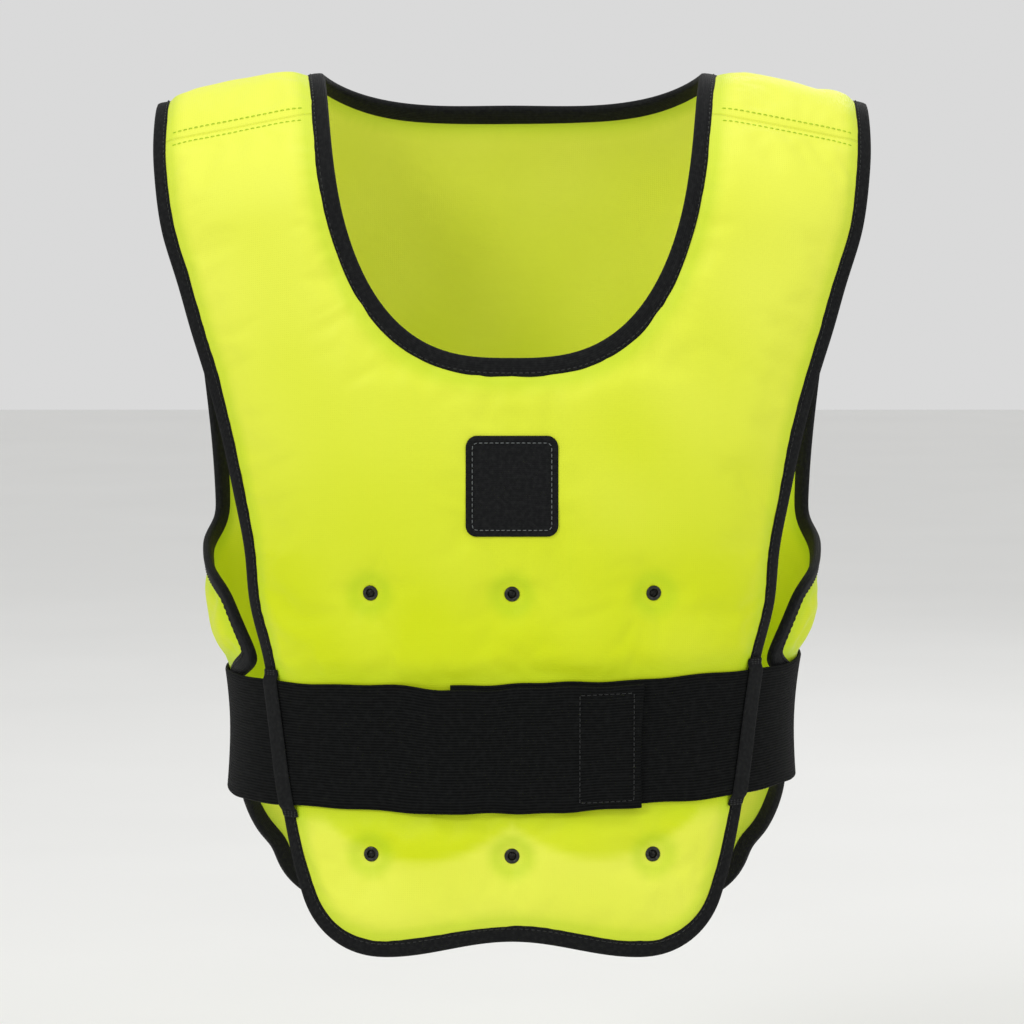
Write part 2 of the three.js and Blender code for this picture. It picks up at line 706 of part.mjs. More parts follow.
// Body through rings of the same number of points, closed on itself or capped at both ends; from a mirrored
// ring on, the cells are split the other way, so that both halves match
function ringBody(rings, closed, mirroredFrom = Infinity) {
  const size = rings[0].length;
  const points = rings.flat();
  const triangles = [];
  const last = closed ? rings.length : rings.length - 1;
  for (let i = 0; i < last; i += 1) {
    const here = i * size;
    const next = ((i + 1) % rings.length) * size;
    for (let k = 0; k < size; k += 1) {
      const other = (k + 1) % size;
      if (i < mirroredFrom) {
        triangles.push([here + k, here + other, next + other], [here + k, next + other, next + k]);
      } else {
        triangles.push([here + k, here + other, next + k], [here + other, next + other, next + k]);
      }
    }
  }
  if (!closed) {
    const end = (rings.length - 1) * size;
    for (let k = 1; k < size - 1; k += 1) {
      triangles.push([0, k + 1, k], [end, end + k, end + k + 1]);
    }
  }
  return bodyOf(points, triangles);
}

// A geometry as a solid for cutting, and back
function toSolid(geometry) {
  const bare = geometry.clone();
  bare.deleteAttribute("normal");
  bare.deleteAttribute("uv");
  const merged = mergeVertices(bare, SAME_POINT / 10);
  const kept = [];
  const index = merged.index.array;
  for (let i = 0; i < index.length; i += 3) {
    const [a, b, c] = index.slice(i, i + 3);
    if (a !== b && b !== c && c !== a) kept.push(a, b, c);
  }
  return new wasm.Manifold(
    new wasm.Mesh({
      numProp: 3,
      vertProperties: new Float32Array(merged.attributes.position.array),
      triVerts: new Uint32Array(kept),
    }),
  );
}

function toGeometry(solid) {
  const { vertProperties, triVerts } = solid.getMesh();
  const geometry = new THREE.BufferGeometry();
  geometry.setAttribute("position", new THREE.BufferAttribute(new Float32Array(vertProperties), 3));
  geometry.setIndex(new THREE.BufferAttribute(new Uint32Array(triVerts), 1));
  return geometry;
}

// Turned body about the local +Y axis from a profile of radius and height
function turnedBody(profile, sides) {
  return new THREE.LatheGeometry(
    profile.map(([radius, height]) => new THREE.Vector2(radius, height)),
    sides,
  );
}

// Places a turned body on the form, its axis along the form's outward direction
function placeOnForm(object, wrap, run) {
  const turn = turnAt(wrap, run);
  object.position.copy(formPoint(turn, run));
  object.quaternion.setFromUnitVectors(new THREE.Vector3(0, 1, 0), formNormal(turn, run));
  object.updateMatrixWorld(true);
  return object;
}

const eyeletPlaces = (side) =>
  [EYELET_UPPER_RUN, EYELET_LOWER_RUN].flatMap((run) =>
    [-EYELET_PITCH, 0, EYELET_PITCH].map((wrap) => ({ wrap, run: side * run })),
  );

// One padded panel: thin inside the binding and under the waistband, dimpled and pierced at its eyelets
function panelMesh(name, grid, edges, side) {
  const padShare = (point) => {
    const nearest = Math.min(
      ...edges.map((edge) => distanceToPath(new THREE.Vector2(Math.abs(point.x), point.y), edge)),
    );
    return smooth((nearest - BINDING_WIDTH - THIN_MARGIN) / PAD_ROLL);
  };
  const squeeze = (point) => {
    if (Math.abs(point.y) < DOME_RUN) return 0;
    const past = Math.abs(belowBelt(point.x, point.y)) - BELT_HEIGHT / 2 - SQUEEZE_MARGIN;
    return 1 - smooth(past / SQUEEZE_ROLL);
  };
  const outerLift = (point) => {
    const full = lerp(EDGE_LIFT + EDGE_THICKNESS, PAD_THICKNESS, padShare(point));
    return lerp(full, Math.min(full, SQUEEZED_THICKNESS), squeeze(point));
  };
  const innerLift = (point) => lerp(EDGE_LIFT, 0, padShare(point));
  let solid = toSolid(sheetBody(mirroredCells([grid.strap, grid.bib, grid.tab]), outerLift, innerLift));
  const seat = SQUEEZED_THICKNESS - FIT_GAP;
  const clear = 2 * PAD_THICKNESS;
  const flare = (DIMPLE_RADIUS - DIMPLE_FLOOR) / (PAD_THICKNESS - seat);
  const dimple = turnedBody(
    [
      [0, -PAD_THICKNESS],
      [EYELET_BARREL + FIT_GAP, -PAD_THICKNESS],
      [EYELET_BARREL + FIT_GAP, seat],
      [DIMPLE_FLOOR, seat],
      [DIMPLE_FLOOR + flare * (clear - seat), clear],
      [0, clear],
    ],
    DIMPLE_SIDES,
  );
  eyeletPlaces(side).forEach(({ wrap, run }) => {
    const cutter = placeOnForm(new THREE.Mesh(dimple), wrap, run);
    solid = solid.subtract(toSolid(dimple.clone().applyMatrix4(cutter.matrixWorld)));
  });
  const mesh = new THREE.Mesh(toGeometry(solid.asOriginal().simplify(SLIVER)), shellMaterial);
  mesh.name = name;
  return mesh;
}

// Folded binding along a closed flat path: a channel over the panel's thin edge, its legs lying along the
// panel's own cells
function bindingMesh(name, path) {
  const top = EDGE_LIFT + EDGE_THICKNESS + FIT_GAP + FACET_GAP / 2;
  const channel = [
    { inward: BINDING_WIDTH, lift: 0 },
    { inward: -FIT_GAP - BINDING_WALL, lift: 0 },
    { inward: -FIT_GAP - BINDING_WALL, lift: top + BINDING_WALL },
    { inward: BINDING_WIDTH, lift: top + BINDING_WALL },
    { inward: BINDING_WIDTH, lift: top },
    { inward: -FIT_GAP, lift: top },
    { inward: -FIT_GAP, lift: BINDING_WALL },
    { inward: BINDING_WIDTH, lift: BINDING_WALL },
  ];
  const rings = path.map(({ point, inside }, i) => {
    const before = path.at(i - 1).point;
    const after = path[(i + 1) % path.length].point;
    const along = after.clone().sub(before).normalize();
    const reach = inside.clone().sub(point);
    reach.divideScalar(Math.abs(reach.cross(along)));
    return channel.map(({ inward, lift }) => {
      const place = point.clone().addScaledVector(reach, inward);
      return drape(place.x, place.y, lift);
    });
  });
  const mesh = new THREE.Mesh(ringBody(rings, true, path.length / 2), bindingMaterial);
  mesh.name = name;
  return mesh;
}

// Whole closed path from its front and back right halves
function closedPath(frontHalf, backHalf) {
  const half = [...frontHalf, ...[...backHalf].reverse()];
  const mirror = (point) => new THREE.Vector2(-point.x, point.y);
  const left = half
    .slice(1, -1)
    .map(({ point, inside }) => ({ point: mirror(point), inside: mirror(inside) }))
    .reverse();
  return [...half, ...left];
}

const bindingTop = EDGE_LIFT + EDGE_THICKNESS + FIT_GAP + FACET_GAP / 2 + BINDING_WALL;
const beltLift = bindingTop + FIT_GAP + FACET_GAP;
const layerStep = BELT_THICKNESS + FIT_GAP + FACET_GAP;

// Elastic waistband: one band from its under end at the front, round the back, to its over end at the front
function waistbandMesh() {
  const start = turnAt(BELT_UNDER_END, WAIST_RUN);
  const end = 2 * Math.PI + turnAt(BELT_OVER_END, WAIST_RUN);
  const rampTurn = BELT_RAMP / FORM_HALF_WIDTH;
  const rampEnd = 2 * Math.PI + start - BELT_CLEAR / FORM_HALF_WIDTH;
  const heights = [-0.5, 0, 0.5].map((share) => share * BELT_HEIGHT);
  const rings = [];
  for (let i = 0; i <= BELT_STEPS; i += 1) {
    const turn = lerp(start, end, i / BELT_STEPS);
    const rise = layerStep * smooth((turn - rampEnd + rampTurn) / rampTurn);
    const low = beltLift + rise;
    const ring = heights.map((height) => lifted(turn, beltRun(turn) + height, low));
    heights.toReversed().forEach((height) => {
      ring.push(lifted(turn, beltRun(turn) + height, low + BELT_THICKNESS));
    });
    rings.push(ring);
  }
  const mesh = new THREE.Mesh(ringBody(rings, false), elasticMaterial);
  mesh.name = "waistband";
  return mesh;
}

// Keeper: a flat loop over the waistband, sewn to the panel above and below it
function keeperMesh(name, side, hand, wrapAt, seatLift) {
  const half = BELT_HEIGHT / 2;
  const high = beltLift + BELT_THICKNESS + FIT_GAP + FACET_GAP;
  const shoulder = half + KEEPER_THICKNESS / 2;
  const foot = half + KEEPER_SPLAY;
  const stations = [
    [-half - KEEPER_TAIL, seatLift],
    [-foot, seatLift],
    [-shoulder, high],
    [0, high],
    [shoulder, high],
    [foot, seatLift],
    [half + KEEPER_TAIL, seatLift],
  ];
  const rings = stations.map(([below, lift]) => {
    const turn = turnAt(hand * wrapAt(WAIST_RUN), WAIST_RUN);
    const run = beltRun(side > 0 ? turn : Math.PI - turn) + below;
    const wrap = wrapAt(run);
    const section = [
      [-1, 0],
      [0, 0],
      [1, 0],
      [1, 1],
      [0, 1],
      [-1, 1],
    ];
    return section.map(([across, up]) =>
      drape(hand * (wrap + (across * KEEPER_WIDTH) / 2), side * run, lift + up * KEEPER_THICKNESS),
    );
  });
  const mesh = new THREE.Mesh(ringBody(rings, false), bindingMaterial);
  mesh.name = name;
  return mesh;
}

// Eyelet: a short barrel with a rolled rim on each face of the panel
function eyeletGeometry() {
  const front = SQUEEZED_THICKNESS;
  const back = -EYELET_BACK_GAP;
  return turnedBody(
    [
      [EYELET_BORE, back - EYELET_RIM],
      [EYELET_FLANGE, back],
      [EYELET_BARREL, back],
      [EYELET_BARREL, front],
      [EYELET_FLANGE, front],
      [EYELET_FLANGE, front + EYELET_RIM],
      [EYELET_BORE, front + EYELET_RIM],
      [EYELET_BORE, back - EYELET_RIM],
    ],
    EYELET_SIDES,
  );
}

function eyeletMeshes(label, side) {
  const geometry = toGeometry(toSolid(eyeletGeometry()));
  return eyeletPlaces(side).map(({ wrap, run }, i) => {
    const mesh = new THREE.Mesh(geometry, eyeletMaterial);
    mesh.name = `eyelet_${label}_${i + 1}`;
    return placeOnForm(mesh, wrap, run);
  });
}

// Chest patch: a plain square sheet with rounded corners, laid on the padding
function patchMesh() {
  const corner = (x, y) => {
    const over = (value, half) => Math.max(Math.abs(value) - half + PATCH_CORNER, 0);
    const dx = over(x, PATCH_HALF_WIDTH);
    const dy = over(y, PATCH_HALF_HEIGHT);
    const outside = Math.hypot(dx, dy);
    const pull = outside > PATCH_CORNER ? PATCH_CORNER / outside : 1;
    const moved = (value, d) => value - Math.sign(value) * d * (1 - pull);
    return new THREE.Vector2(moved(x, dx), PATCH_RUN + moved(y, dy));
  };
  const cells = [];
  const at = (i, j) =>
    corner(
      lerp(-PATCH_HALF_WIDTH, PATCH_HALF_WIDTH, i / PATCH_CELLS),
      lerp(-PATCH_HALF_HEIGHT, PATCH_HALF_HEIGHT, j / PATCH_CELLS),
    );
  for (let i = 0; i < PATCH_CELLS; i += 1) {
    for (let j = 0; j < PATCH_CELLS; j += 1) {
      cells.push([at(i, j), at(i + 1, j), at(i + 1, j + 1), at(i, j + 1)]);
    }
  }
  const seat = PAD_THICKNESS + FIT_GAP;
  const mesh = new THREE.Mesh(
    sheetBody(cells, () => seat + PATCH_THICKNESS, () => seat),
    patchMaterial,
  );
  mesh.name = "label_patch";
  return mesh;
}

const frontGrid = panelGrid(true);
const backGrid = panelGrid(false);
const frontLines = panelOutlines(frontGrid);
const backLines = panelOutlines(backGrid);
const bindingSeat = bindingTop + FIT_GAP + FACET_GAP / 2;
const panelSeat = SQUEEZED_THICKNESS + FIT_GAP + FACET_GAP;
const edgeLines = ({ outer, neck }) => [outer, neck].map((line) => line.map(({ point }) => point));

const panels = new THREE.Group();
panels.add(panelMesh("front_panel", frontGrid, edgeLines(frontLines), 1));
panels.add(panelMesh("back_panel", backGrid, edgeLines(backLines), -1));
panels.add(patchMesh());
panels.add(...eyeletMeshes("front", 1), ...eyeletMeshes("back", -1));

const bindings = new THREE.Group();
bindings.add(bindingMesh("edge_binding", closedPath(frontLines.outer, backLines.outer)));
bindings.add(bindingMesh("neck_binding", closedPath(frontLines.neck, backLines.neck)));

const belt = new THREE.Group();
belt.add(waistbandMesh());
[
  { label: "left", hand: 1 },
  { label: "right", hand: -1 },
].forEach(({ label, hand }) => {
  const frontWrap = (run) => frontEdge(run) - KEEPER_INSET;
  belt.add(keeperMesh(`keeper_front_${label}`, 1, hand, frontWrap, bindingSeat));
  belt.add(keeperMesh(`keeper_back_${label}`, -1, hand, () => BACK_WAIST_HALF - BACK_KEEPER_INSET, panelSeat));
});

const group = new THREE.Group();
group.add(panels, bindings, belt);

export default group;
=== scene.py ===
"""Looks of an evaporative cooling vest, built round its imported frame.

Flat coordinates are used for everything sewn: wrap is the length round the body from the centre line, run the
length down from the shoulder ridge (above 0 on the front, below 0 on the back) and lift the distance out from
the body, all in millimetres. drape() turns them into places in the frame, in metres.
"""

import math

import bmesh
import bpy
import numpy as np
from bpy.props import FloatProperty, FloatVectorProperty, PointerProperty
from mathutils import Matrix, Vector


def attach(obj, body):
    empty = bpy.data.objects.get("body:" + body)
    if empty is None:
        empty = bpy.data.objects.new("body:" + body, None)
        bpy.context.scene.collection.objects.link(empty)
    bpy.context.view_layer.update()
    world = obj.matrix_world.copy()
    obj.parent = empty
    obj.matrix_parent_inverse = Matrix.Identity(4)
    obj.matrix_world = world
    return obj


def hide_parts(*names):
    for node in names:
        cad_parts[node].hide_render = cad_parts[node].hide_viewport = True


bl_info = {
    "name": "Evaporative cooling vest",
    "version": (1, 0, 0),
    "blender": (4, 5, 0),
    "location": "3D View > Sidebar > Vest",
    "description": "Builds a padded cooling vest with bound edges and an elastic waistband",
    "category": "Object",
}

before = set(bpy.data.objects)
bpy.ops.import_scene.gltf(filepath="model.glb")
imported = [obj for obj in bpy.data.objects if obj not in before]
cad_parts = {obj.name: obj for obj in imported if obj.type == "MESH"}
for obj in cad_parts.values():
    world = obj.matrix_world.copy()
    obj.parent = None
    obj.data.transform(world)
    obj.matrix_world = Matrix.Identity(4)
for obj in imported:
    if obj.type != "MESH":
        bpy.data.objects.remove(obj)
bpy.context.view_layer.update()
MM = 0.001
MIRROR = np.array([-1.0, 1.0])
# flat points that agree to a fiftieth of a millimetre are one point
WELD_STEPS = 50

# Body form
FORM_HALF_WIDTH, FRONT_DEPTH, BACK_DEPTH, FORM_DROP = 240.0, 117.0, 106.0, 500.0
DOME_DROP, DOME_RUN = 75.0, 115.0
SHOULDER_SLOPE, SLOPE_MIDDLE, SLOPE_SOFTNESS = 0.2, 156.0, 60.0
SLOPE_FADE_START, SLOPE_FADE_LENGTH = 60.0, 220.0
SECTION_POWER = 2.5
# drop, width, front, back, as shares of the four sizes above
FORM_LEVELS = np.array([
    (0.0, 1.0, 0.7, 0.775),
    (0.15, 0.992, 0.83, 0.887),
    (0.3, 0.9, 0.94, 0.981),
    (0.43, 0.808, 1.0, 1.0),
    (0.6, 0.708, 0.974, 0.896),
    (0.67, 0.675, 0.94, 0.83),
    (0.75, 0.6625, 0.915, 0.802),
    (0.86, 0.679, 0.932, 0.83),
    (1.0, 0.721, 0.966, 0.896),
    (1.12, 0.742, 0.974, 0.925),
])

# Panels, measured flat
SHOULDER_HALF, SIDE_HALF, WAIST_RUN = 211.0, 143.0, 411.0
HEM_HALF, HEM_CORNER, HEM_RUN, HEM_RISE = 124.5, 48.5, 533.0, 10.0
SEAM_RUN, FIT_GAP, SEAM_GAP = 57.0, 0.3, 0.06
BACK_WAIST_HALF, BACK_HEM_HALF, BACK_HEM_CORNER, BACK_HEM_RUN = 202.0, 150.0, 50.0, 534.0
TAB_GAP, TAB_TOP_RUN, TAB_FOOT_RUN, TAB_TIP_RUN, TAB_TIP_HEIGHT = 19.0, 288.0, 398.0, 347.0, 34.0
HEM_CORNER_START = math.radians(14)
NECK_RIDGE_HALF, NECK_HALF, NECK_RUN, NECK_TAPER, NECK_POWER = 112.0, 107.0, 197.0, 0.12, 2.8
BACK_NECK_RUN, BACK_NECK_POWER = 70.0, 2.4
CUT_RUN, BACK_CUT_RUN, NECK_BEND, BACK_NECK_BEND = 203.0, 112.0, 0.53, 0.58
OUTLINE_STEP, NECK_SIDE_FROM, OUTER_SIDE_FROM = 1.5, 60.0, 120.0
# points across and along the strap, the bib and the tab
STRAP_COLUMNS, STRAP_ROWS, FLOOR_COLUMNS, BIB_ROWS = 27, 45, 21, 85
ROWS_ABOVE_TAB, TAB_ROWS, ROWS_BELOW_TAB, TAB_COLUMNS = 37, 27, 30, 25
# down, out
FRONT_EDGE = np.array([
    (0.0, 1.0), (0.13, 0.995), (0.18, 0.975), (0.265, 0.9), (0.35, 0.755), (0.42, 0.65), (0.5, 0.51),
    (0.57, 0.41), (0.66, 0.31), (0.73, 0.24), (0.81, 0.225), (0.89, 0.1), (1.0, 0.0),
])
LOWER_EDGE = np.array([(0.0, 1.0), (0.25, 0.85), (0.48, 0.65), (0.66, 0.46), (0.85, 0.24), (1.0, 0.0)])
BACK_EDGE = np.array([
    (0.0, 1.0), (0.14, 0.9), (0.27, 0.06), (0.4, -0.87), (0.52, -1.33), (0.63, -1.45), (0.71, -1.22),
    (0.8, -0.6), (0.9, -0.1), (1.0, 0.0),
])

# Waistband, keepers, eyelets and patch
BELT_TILT, BELT_SAG = 0.026, 5.0
BELT_OVER_END, BELT_UNDER_END, BELT_RAMP, BELT_CLEAR = 72.0, -34.0, 70.0, 5.0
BELT_LOW, BELT_THICKNESS, BELT_STEP, OVER_END_SHIFT = 6.5, 2.0, 3.0, 2.2
EYELET_PITCH, EYELET_UPPER_RUN, EYELET_LOWER_RUN = 80.5, 322.5, 475.0
EYELET_SEAT, HOLE_RADIUS = 4.6, 3.5
EYELET_RIM, EYELET_ROLL, EYELET_FOOT = 3.4, 1.0, -0.9
PATCH_RUN, PATCH_HALF_WIDTH, PATCH_HALF_HEIGHT, PATCH_CORNER, PATCH_SEAT = 262.0, 26.0, 27.0, 6.0, 8.25
KEEPER_WIDTH, KEEPER_THICKNESS, KEEPER_INSET, KEEPER_TAIL, KEEPER_CLEAR = 10.5, 1.2, 5.6, 7.0, 0.2
KEEPER_SEAT, BACK_KEEPER_SEAT, BACK_KEEPER_INSET = 6.15, 5.6, 62.0
BELT_HALF, BELT_EDGE, BELT_ROWS, BELT_STEPS, BELT_REACH = 37.0, 0.8, 15, 420, 137.0

# Padding: thin at the binding, swelling inwards, pressed under the waistband, sunk at seam and eyelets
EDGE_LOW, EDGE_HIGH, EDGE_HELD, SWELL_REACH, SWELL_POWER = 1.65, 3.85, 5.0, 22.0, 2.4
BINDING_REACH, LEAST_PADDING, BELT_PRESSED, BELT_EASE = 9.0, 1.6, 6.1, 17.0
ROLL_MIDDLE, ROLL_REACH, ROLL_RISE = 21.0, 20.0, 0.9
SEAM_DEPTH, SEAM_WIDTH, SEAM_SINK, SEAM_SPREAD = 1.9, 3.2, 0.5, 9.0
DENT_WITHIN, DENT_FLAT, DENT_REACH, DENT_POWER, DENT_DEPTH = 34.0, 4.5, 5.6, 1.5, 0.15
HOLE_PICK = 2.7
SETTLING_FRAMES, HELD_FROM, RISE_LOW, RISE_HIGH = 16, 0.02, -1.6, 2.6

# Stitches: the shares are of the stitch pitch, and the two thread radii are in metres
STITCH_SHARE, STITCH_INSET, STITCH_LIFT = 0.72, 1.7, 5.55
THREAD_RADIUS, FINE_THREAD_RADIUS = 0.0003, 0.00028
SEAM_STITCH_SHARE, SEAM_STITCH_OFFSET, SEAM_ROW_START, SEAM_ROW_INSET = 0.7, 4.6, 120.0, 12.0
BOX_INSET, BOX_FROM, BOX_TO, BOX_STITCH, BOX_GAP = 5.0, -4.0, -34.0, 2.4, 0.8


def linear(red, green, blue):
    """A screen colour from 0 to 255 as Blender's linear colour."""
    def channel(value):
        value /= 255
        return value / 12.92 if value <= 0.04045 else ((value + 0.055) / 1.055) ** 2.4
    return channel(red), channel(green), channel(blue)


def smooth(value):
    value = np.clip(value, 0, 1)
    return value * value * (3 - 2 * value)


def bump(value):
    """1 at 0, falling smoothly to 0 at 1 and beyond."""
    return 1 - smooth(np.abs(value))


# The body form


def read_table(table, column, at):
    keys, values = table[:, 0], table[:, column]
    at = np.clip(at, keys[0], keys[-1])
    i = np.clip(np.searchsorted(keys, at, side="left") - 1, 0, len(keys) - 2)
    order = np.arange(len(keys))
    before, after = np.maximum(order - 1, 0), np.minimum(order + 1, len(keys) - 1)
    slopes = (values[after] - values[before]) / (keys[after] - keys[before])
    span = keys[i + 1] - keys[i]
    t = (at - keys[i]) / span
    start = 2 * t**3 - 3 * t**2 + 1
    pulls = (t**3 - 2 * t**2 + t) * slopes[i] + (t**3 - t**2) * slopes[i + 1]
    return start * values[i] + (1 - start) * values[i + 1] + pulls * span


def level_at(run):
    """Drop below the shoulder ridge at a run, and the share of the full depth reached there."""
    length = np.abs(run)
    angle = np.minimum(length / DOME_RUN, 1) * np.pi / 2
    drop = np.where(length < DOME_RUN, DOME_DROP * (1 - np.cos(angle)), DOME_DROP + length - DOME_RUN)
    return drop, np.sin(angle)


def section_at(run):
    """Half width of the form at a run, its depth on the run's own side and on the far side."""
    share = level_at(run)[0] / FORM_DROP
    width = FORM_HALF_WIDTH * read_table(FORM_LEVELS, 1, share)
    front = FRONT_DEPTH * read_table(FORM_LEVELS, 2, share)
    back = BACK_DEPTH * read_table(FORM_LEVELS, 3, share)
    parted = smooth(np.abs(run) / DOME_RUN)
    middle = (front + back) / 2
    ahead = np.asarray(run) >= 0
    near = middle + (np.where(ahead, front, back) - middle) * parted
    far = middle + (np.where(ahead, back, front) - middle) * parted
    return width, near, far


def section_point(section, turn):
    """Place across and depth on a rounded section at a turn from the centre line."""
    width, near, far = section
    depth = np.where(np.cos(turn) >= 0, near, far)
    across = np.abs(np.sin(turn) / width) ** SECTION_POWER
    along = np.abs(np.cos(turn) / depth) ** SECTION_POWER
    radius = (across + along) ** (-1 / SECTION_POWER)
    return radius * np.sin(turn), radius * np.cos(turn)


GIRTH_RUNS = np.arange(-600.0, 601.0, 4.0)
GIRTH_TURNS = np.linspace(0, np.pi, 121)


def girth_table():
    """Length round the form from the centre line to each turn, a row for each run."""
    turn, run = np.meshgrid(GIRTH_TURNS, GIRTH_RUNS)
    x, y = section_point(section_at(run), turn)
    steps = np.hypot(np.diff(x, axis=1), np.diff(y, axis=1))
    return np.concatenate([np.zeros((len(GIRTH_RUNS), 1)), np.cumsum(steps, axis=1)], axis=1)


GIRTHS = girth_table()


def half_girth(run):
    return float(np.interp(run, GIRTH_RUNS, GIRTHS[:, -1]))


def turn_at(wrap, run):
    """Turn from the centre line that a length round the body reaches."""
    wrap, run = np.broadcast_arrays(np.atleast_1d(np.asarray(wrap, float)), np.asarray(run, float))
    place = np.clip((run - GIRTH_RUNS[0]) / (GIRTH_RUNS[1] - GIRTH_RUNS[0]), 0, len(GIRTH_RUNS) - 1.001)
    row = place.astype(int)
    share = (place - row)[:, None]
    lengths = GIRTHS[row] * (1 - share) + GIRTHS[row + 1] * share
    i = np.clip((lengths < np.abs(wrap)[:, None]).sum(1), 1, len(GIRTH_TURNS) - 1)
    each = np.arange(len(i))
    low, high = lengths[each, i - 1], lengths[each, i]
    return np.sign(wrap) * (i - 1 + (np.abs(wrap) - low) / (high - low)) * GIRTH_TURNS[1]


def form_point(turn, run):
    """Place on the form in millimetres."""
    drop, reach = level_at(run)
    x, depth = section_point(section_at(run), turn)
    fade = 1 - smooth((np.abs(run) - SLOPE_FADE_START) / SLOPE_FADE_LENGTH)
    fall = np.hypot(x, SLOPE_SOFTNESS) - math.hypot(SLOPE_MIDDLE, SLOPE_SOFTNESS)
    side = np.where(np.asarray(run) >= 0, -1, 1)
    return np.stack([x, side * depth * reach, -drop - SHOULDER_SLOPE * fall * fade], axis=-1)


def form_normal(turn, run):
    """Direction out of the form."""
    step = 0.5
    across = form_point(turn + step / FORM_HALF_WIDTH, run) - form_point(turn - step / FORM_HALF_WIDTH, run)
    along = form_point(turn, run + step) - form_point(turn, run - step)
    normal = np.cross(along, across)
    return normal / np.linalg.norm(normal, axis=-1, keepdims=True)


def lifted(turn, run, lift):
    """Place in metres above the form."""
    turn, run, lift = np.broadcast_arrays(turn, run, lift)
    return (form_point(turn, run) + form_normal(turn, run) * lift[..., None]) * MM


def drape(flat, lift):
    """Places in metres of flat points (wrap, run), each raised by its lift."""
    flat = np.asarray(flat, float)
    shape = flat.shape[:-1]
    flat = flat.reshape(-1, 2)
    lift = np.broadcast_to(np.asarray(lift, float), shape).reshape(-1)
    placed = lifted(turn_at(flat[:, 0], flat[:, 1]), flat[:, 1], lift)
    return placed.reshape(*shape, 3)


# Outlines of the panels, on the wearer's left half


def hem_corner(front):
    """Centre and radius of the hem's rounded corner, and where it meets the side."""
    half, radius, run = (
        (HEM_HALF, HEM_CORNER, HEM_RUN) if front else (BACK_HEM_HALF, BACK_HEM_CORNER, BACK_HEM_RUN)
    )
    wrap, middle = half - radius, run - radius
    start_wrap = wrap + radius * math.cos(HEM_CORNER_START)
    return wrap, middle, radius, start_wrap, middle + radius * math.sin(HEM_CORNER_START)


def side_edge(run):
    """Half width of a panel at a run, without the back's side tab."""
    run = np.asarray(run, float)
    widths = []
    for front, table, waist in ((True, FRONT_EDGE, SIDE_HALF), (False, BACK_EDGE, BACK_WAIST_HALF)):
        length = np.abs(run)
        _, _, _, start_wrap, start_run = hem_corner(front)
        upper = waist + (SHOULDER_HALF - waist) * read_table(table, 1, length / WAIST_RUN)
        share = (length - WAIST_RUN) / (start_run - WAIST_RUN)
        lower = start_wrap + (waist - start_wrap) * read_table(LOWER_EDGE, 1, share)
        widths.append(np.where(length <= WAIST_RUN, upper, lower))
    return np.where(run >= 0, *widths)


def hem_points(front):
    wrap, middle, radius, _, _ = hem_corner(front)
    along = np.linspace(0, 1, 60)[:-1]
    rise = HEM_RISE * (1 + np.cos(along * np.pi)) / 2
    floor = np.column_stack([along * wrap, middle + radius - rise])
    angle = np.linspace(np.pi / 2, HEM_CORNER_START, 40)
    arc = np.column_stack([wrap + radius * np.cos(angle), middle + radius * np.sin(angle)])
    points = np.concatenate([floor, arc])
    points[:, 1] *= 1 if front else -1
    return points


def edge_points(start, end):
    run = np.linspace(start, end, max(int(abs(end - start) / 2), 2))
    return np.column_stack([side_edge(run), run])


def tab_slope(root_run, tip_run):
    """One of the side tab's two edges, from the back's side out to its tip."""
    tip = half_girth(-TAB_TIP_RUN) - float(side_edge(TAB_TIP_RUN)) - TAB_GAP
    share = np.linspace(0, 1, 60)
    wrap = side_edge(root_run) + (tip - side_edge(root_run)) * smooth(share)
    return np.column_stack([wrap, root_run + (tip_run - root_run) * share])


def lengths_along(points):
    steps = np.linalg.norm(np.diff(points, axis=0), axis=1)
    return np.concatenate([[0], np.cumsum(steps)])


def points_at(at, lengths, points):
    """Points of a line at some of its lengths."""
    return np.column_stack([np.interp(at, lengths, points[:, k]) for k in (0, 1)])


def resample(points, count):
    """Points at even spacing along a line of points."""
    lengths = lengths_along(points)
    return points_at(np.linspace(0, lengths[-1], count), lengths, points)


def softened(points, reach):
    """A line of evenly spaced points with its corners eased; both its ends lie on the centre line."""
    pad = 4 * reach
    longer = np.concatenate([points[1:pad + 1][::-1] * MIRROR, points, points[-pad - 1:-1][::-1] * MIRROR])
    weights = np.exp(-0.5 * (np.arange(-pad, pad + 1) / reach) ** 2)
    weights /= weights.sum()
    return np.column_stack([np.convolve(longer[:, k], weights, "valid") for k in (0, 1)])


def outer_outline():
    front = hem_points(True)
    back = hem_points(False)[::-1]
    tip_top = -TAB_TIP_RUN + TAB_TIP_HEIGHT / 2
    tip_foot = tip_top - TAB_TIP_HEIGHT
    raw = np.concatenate([
        front,
        edge_points(front[-1, 1] - 2, -TAB_TOP_RUN + 2),
        tab_slope(-TAB_TOP_RUN, tip_top),
        tab_slope(-TAB_FOOT_RUN, tip_foot)[::-1],
        edge_points(-TAB_FOOT_RUN - 2, back[0, 1] + 2),
        back,
    ])
    return softened(resample(raw, int(lengths_along(raw)[-1] / OUTLINE_STEP)), 3)


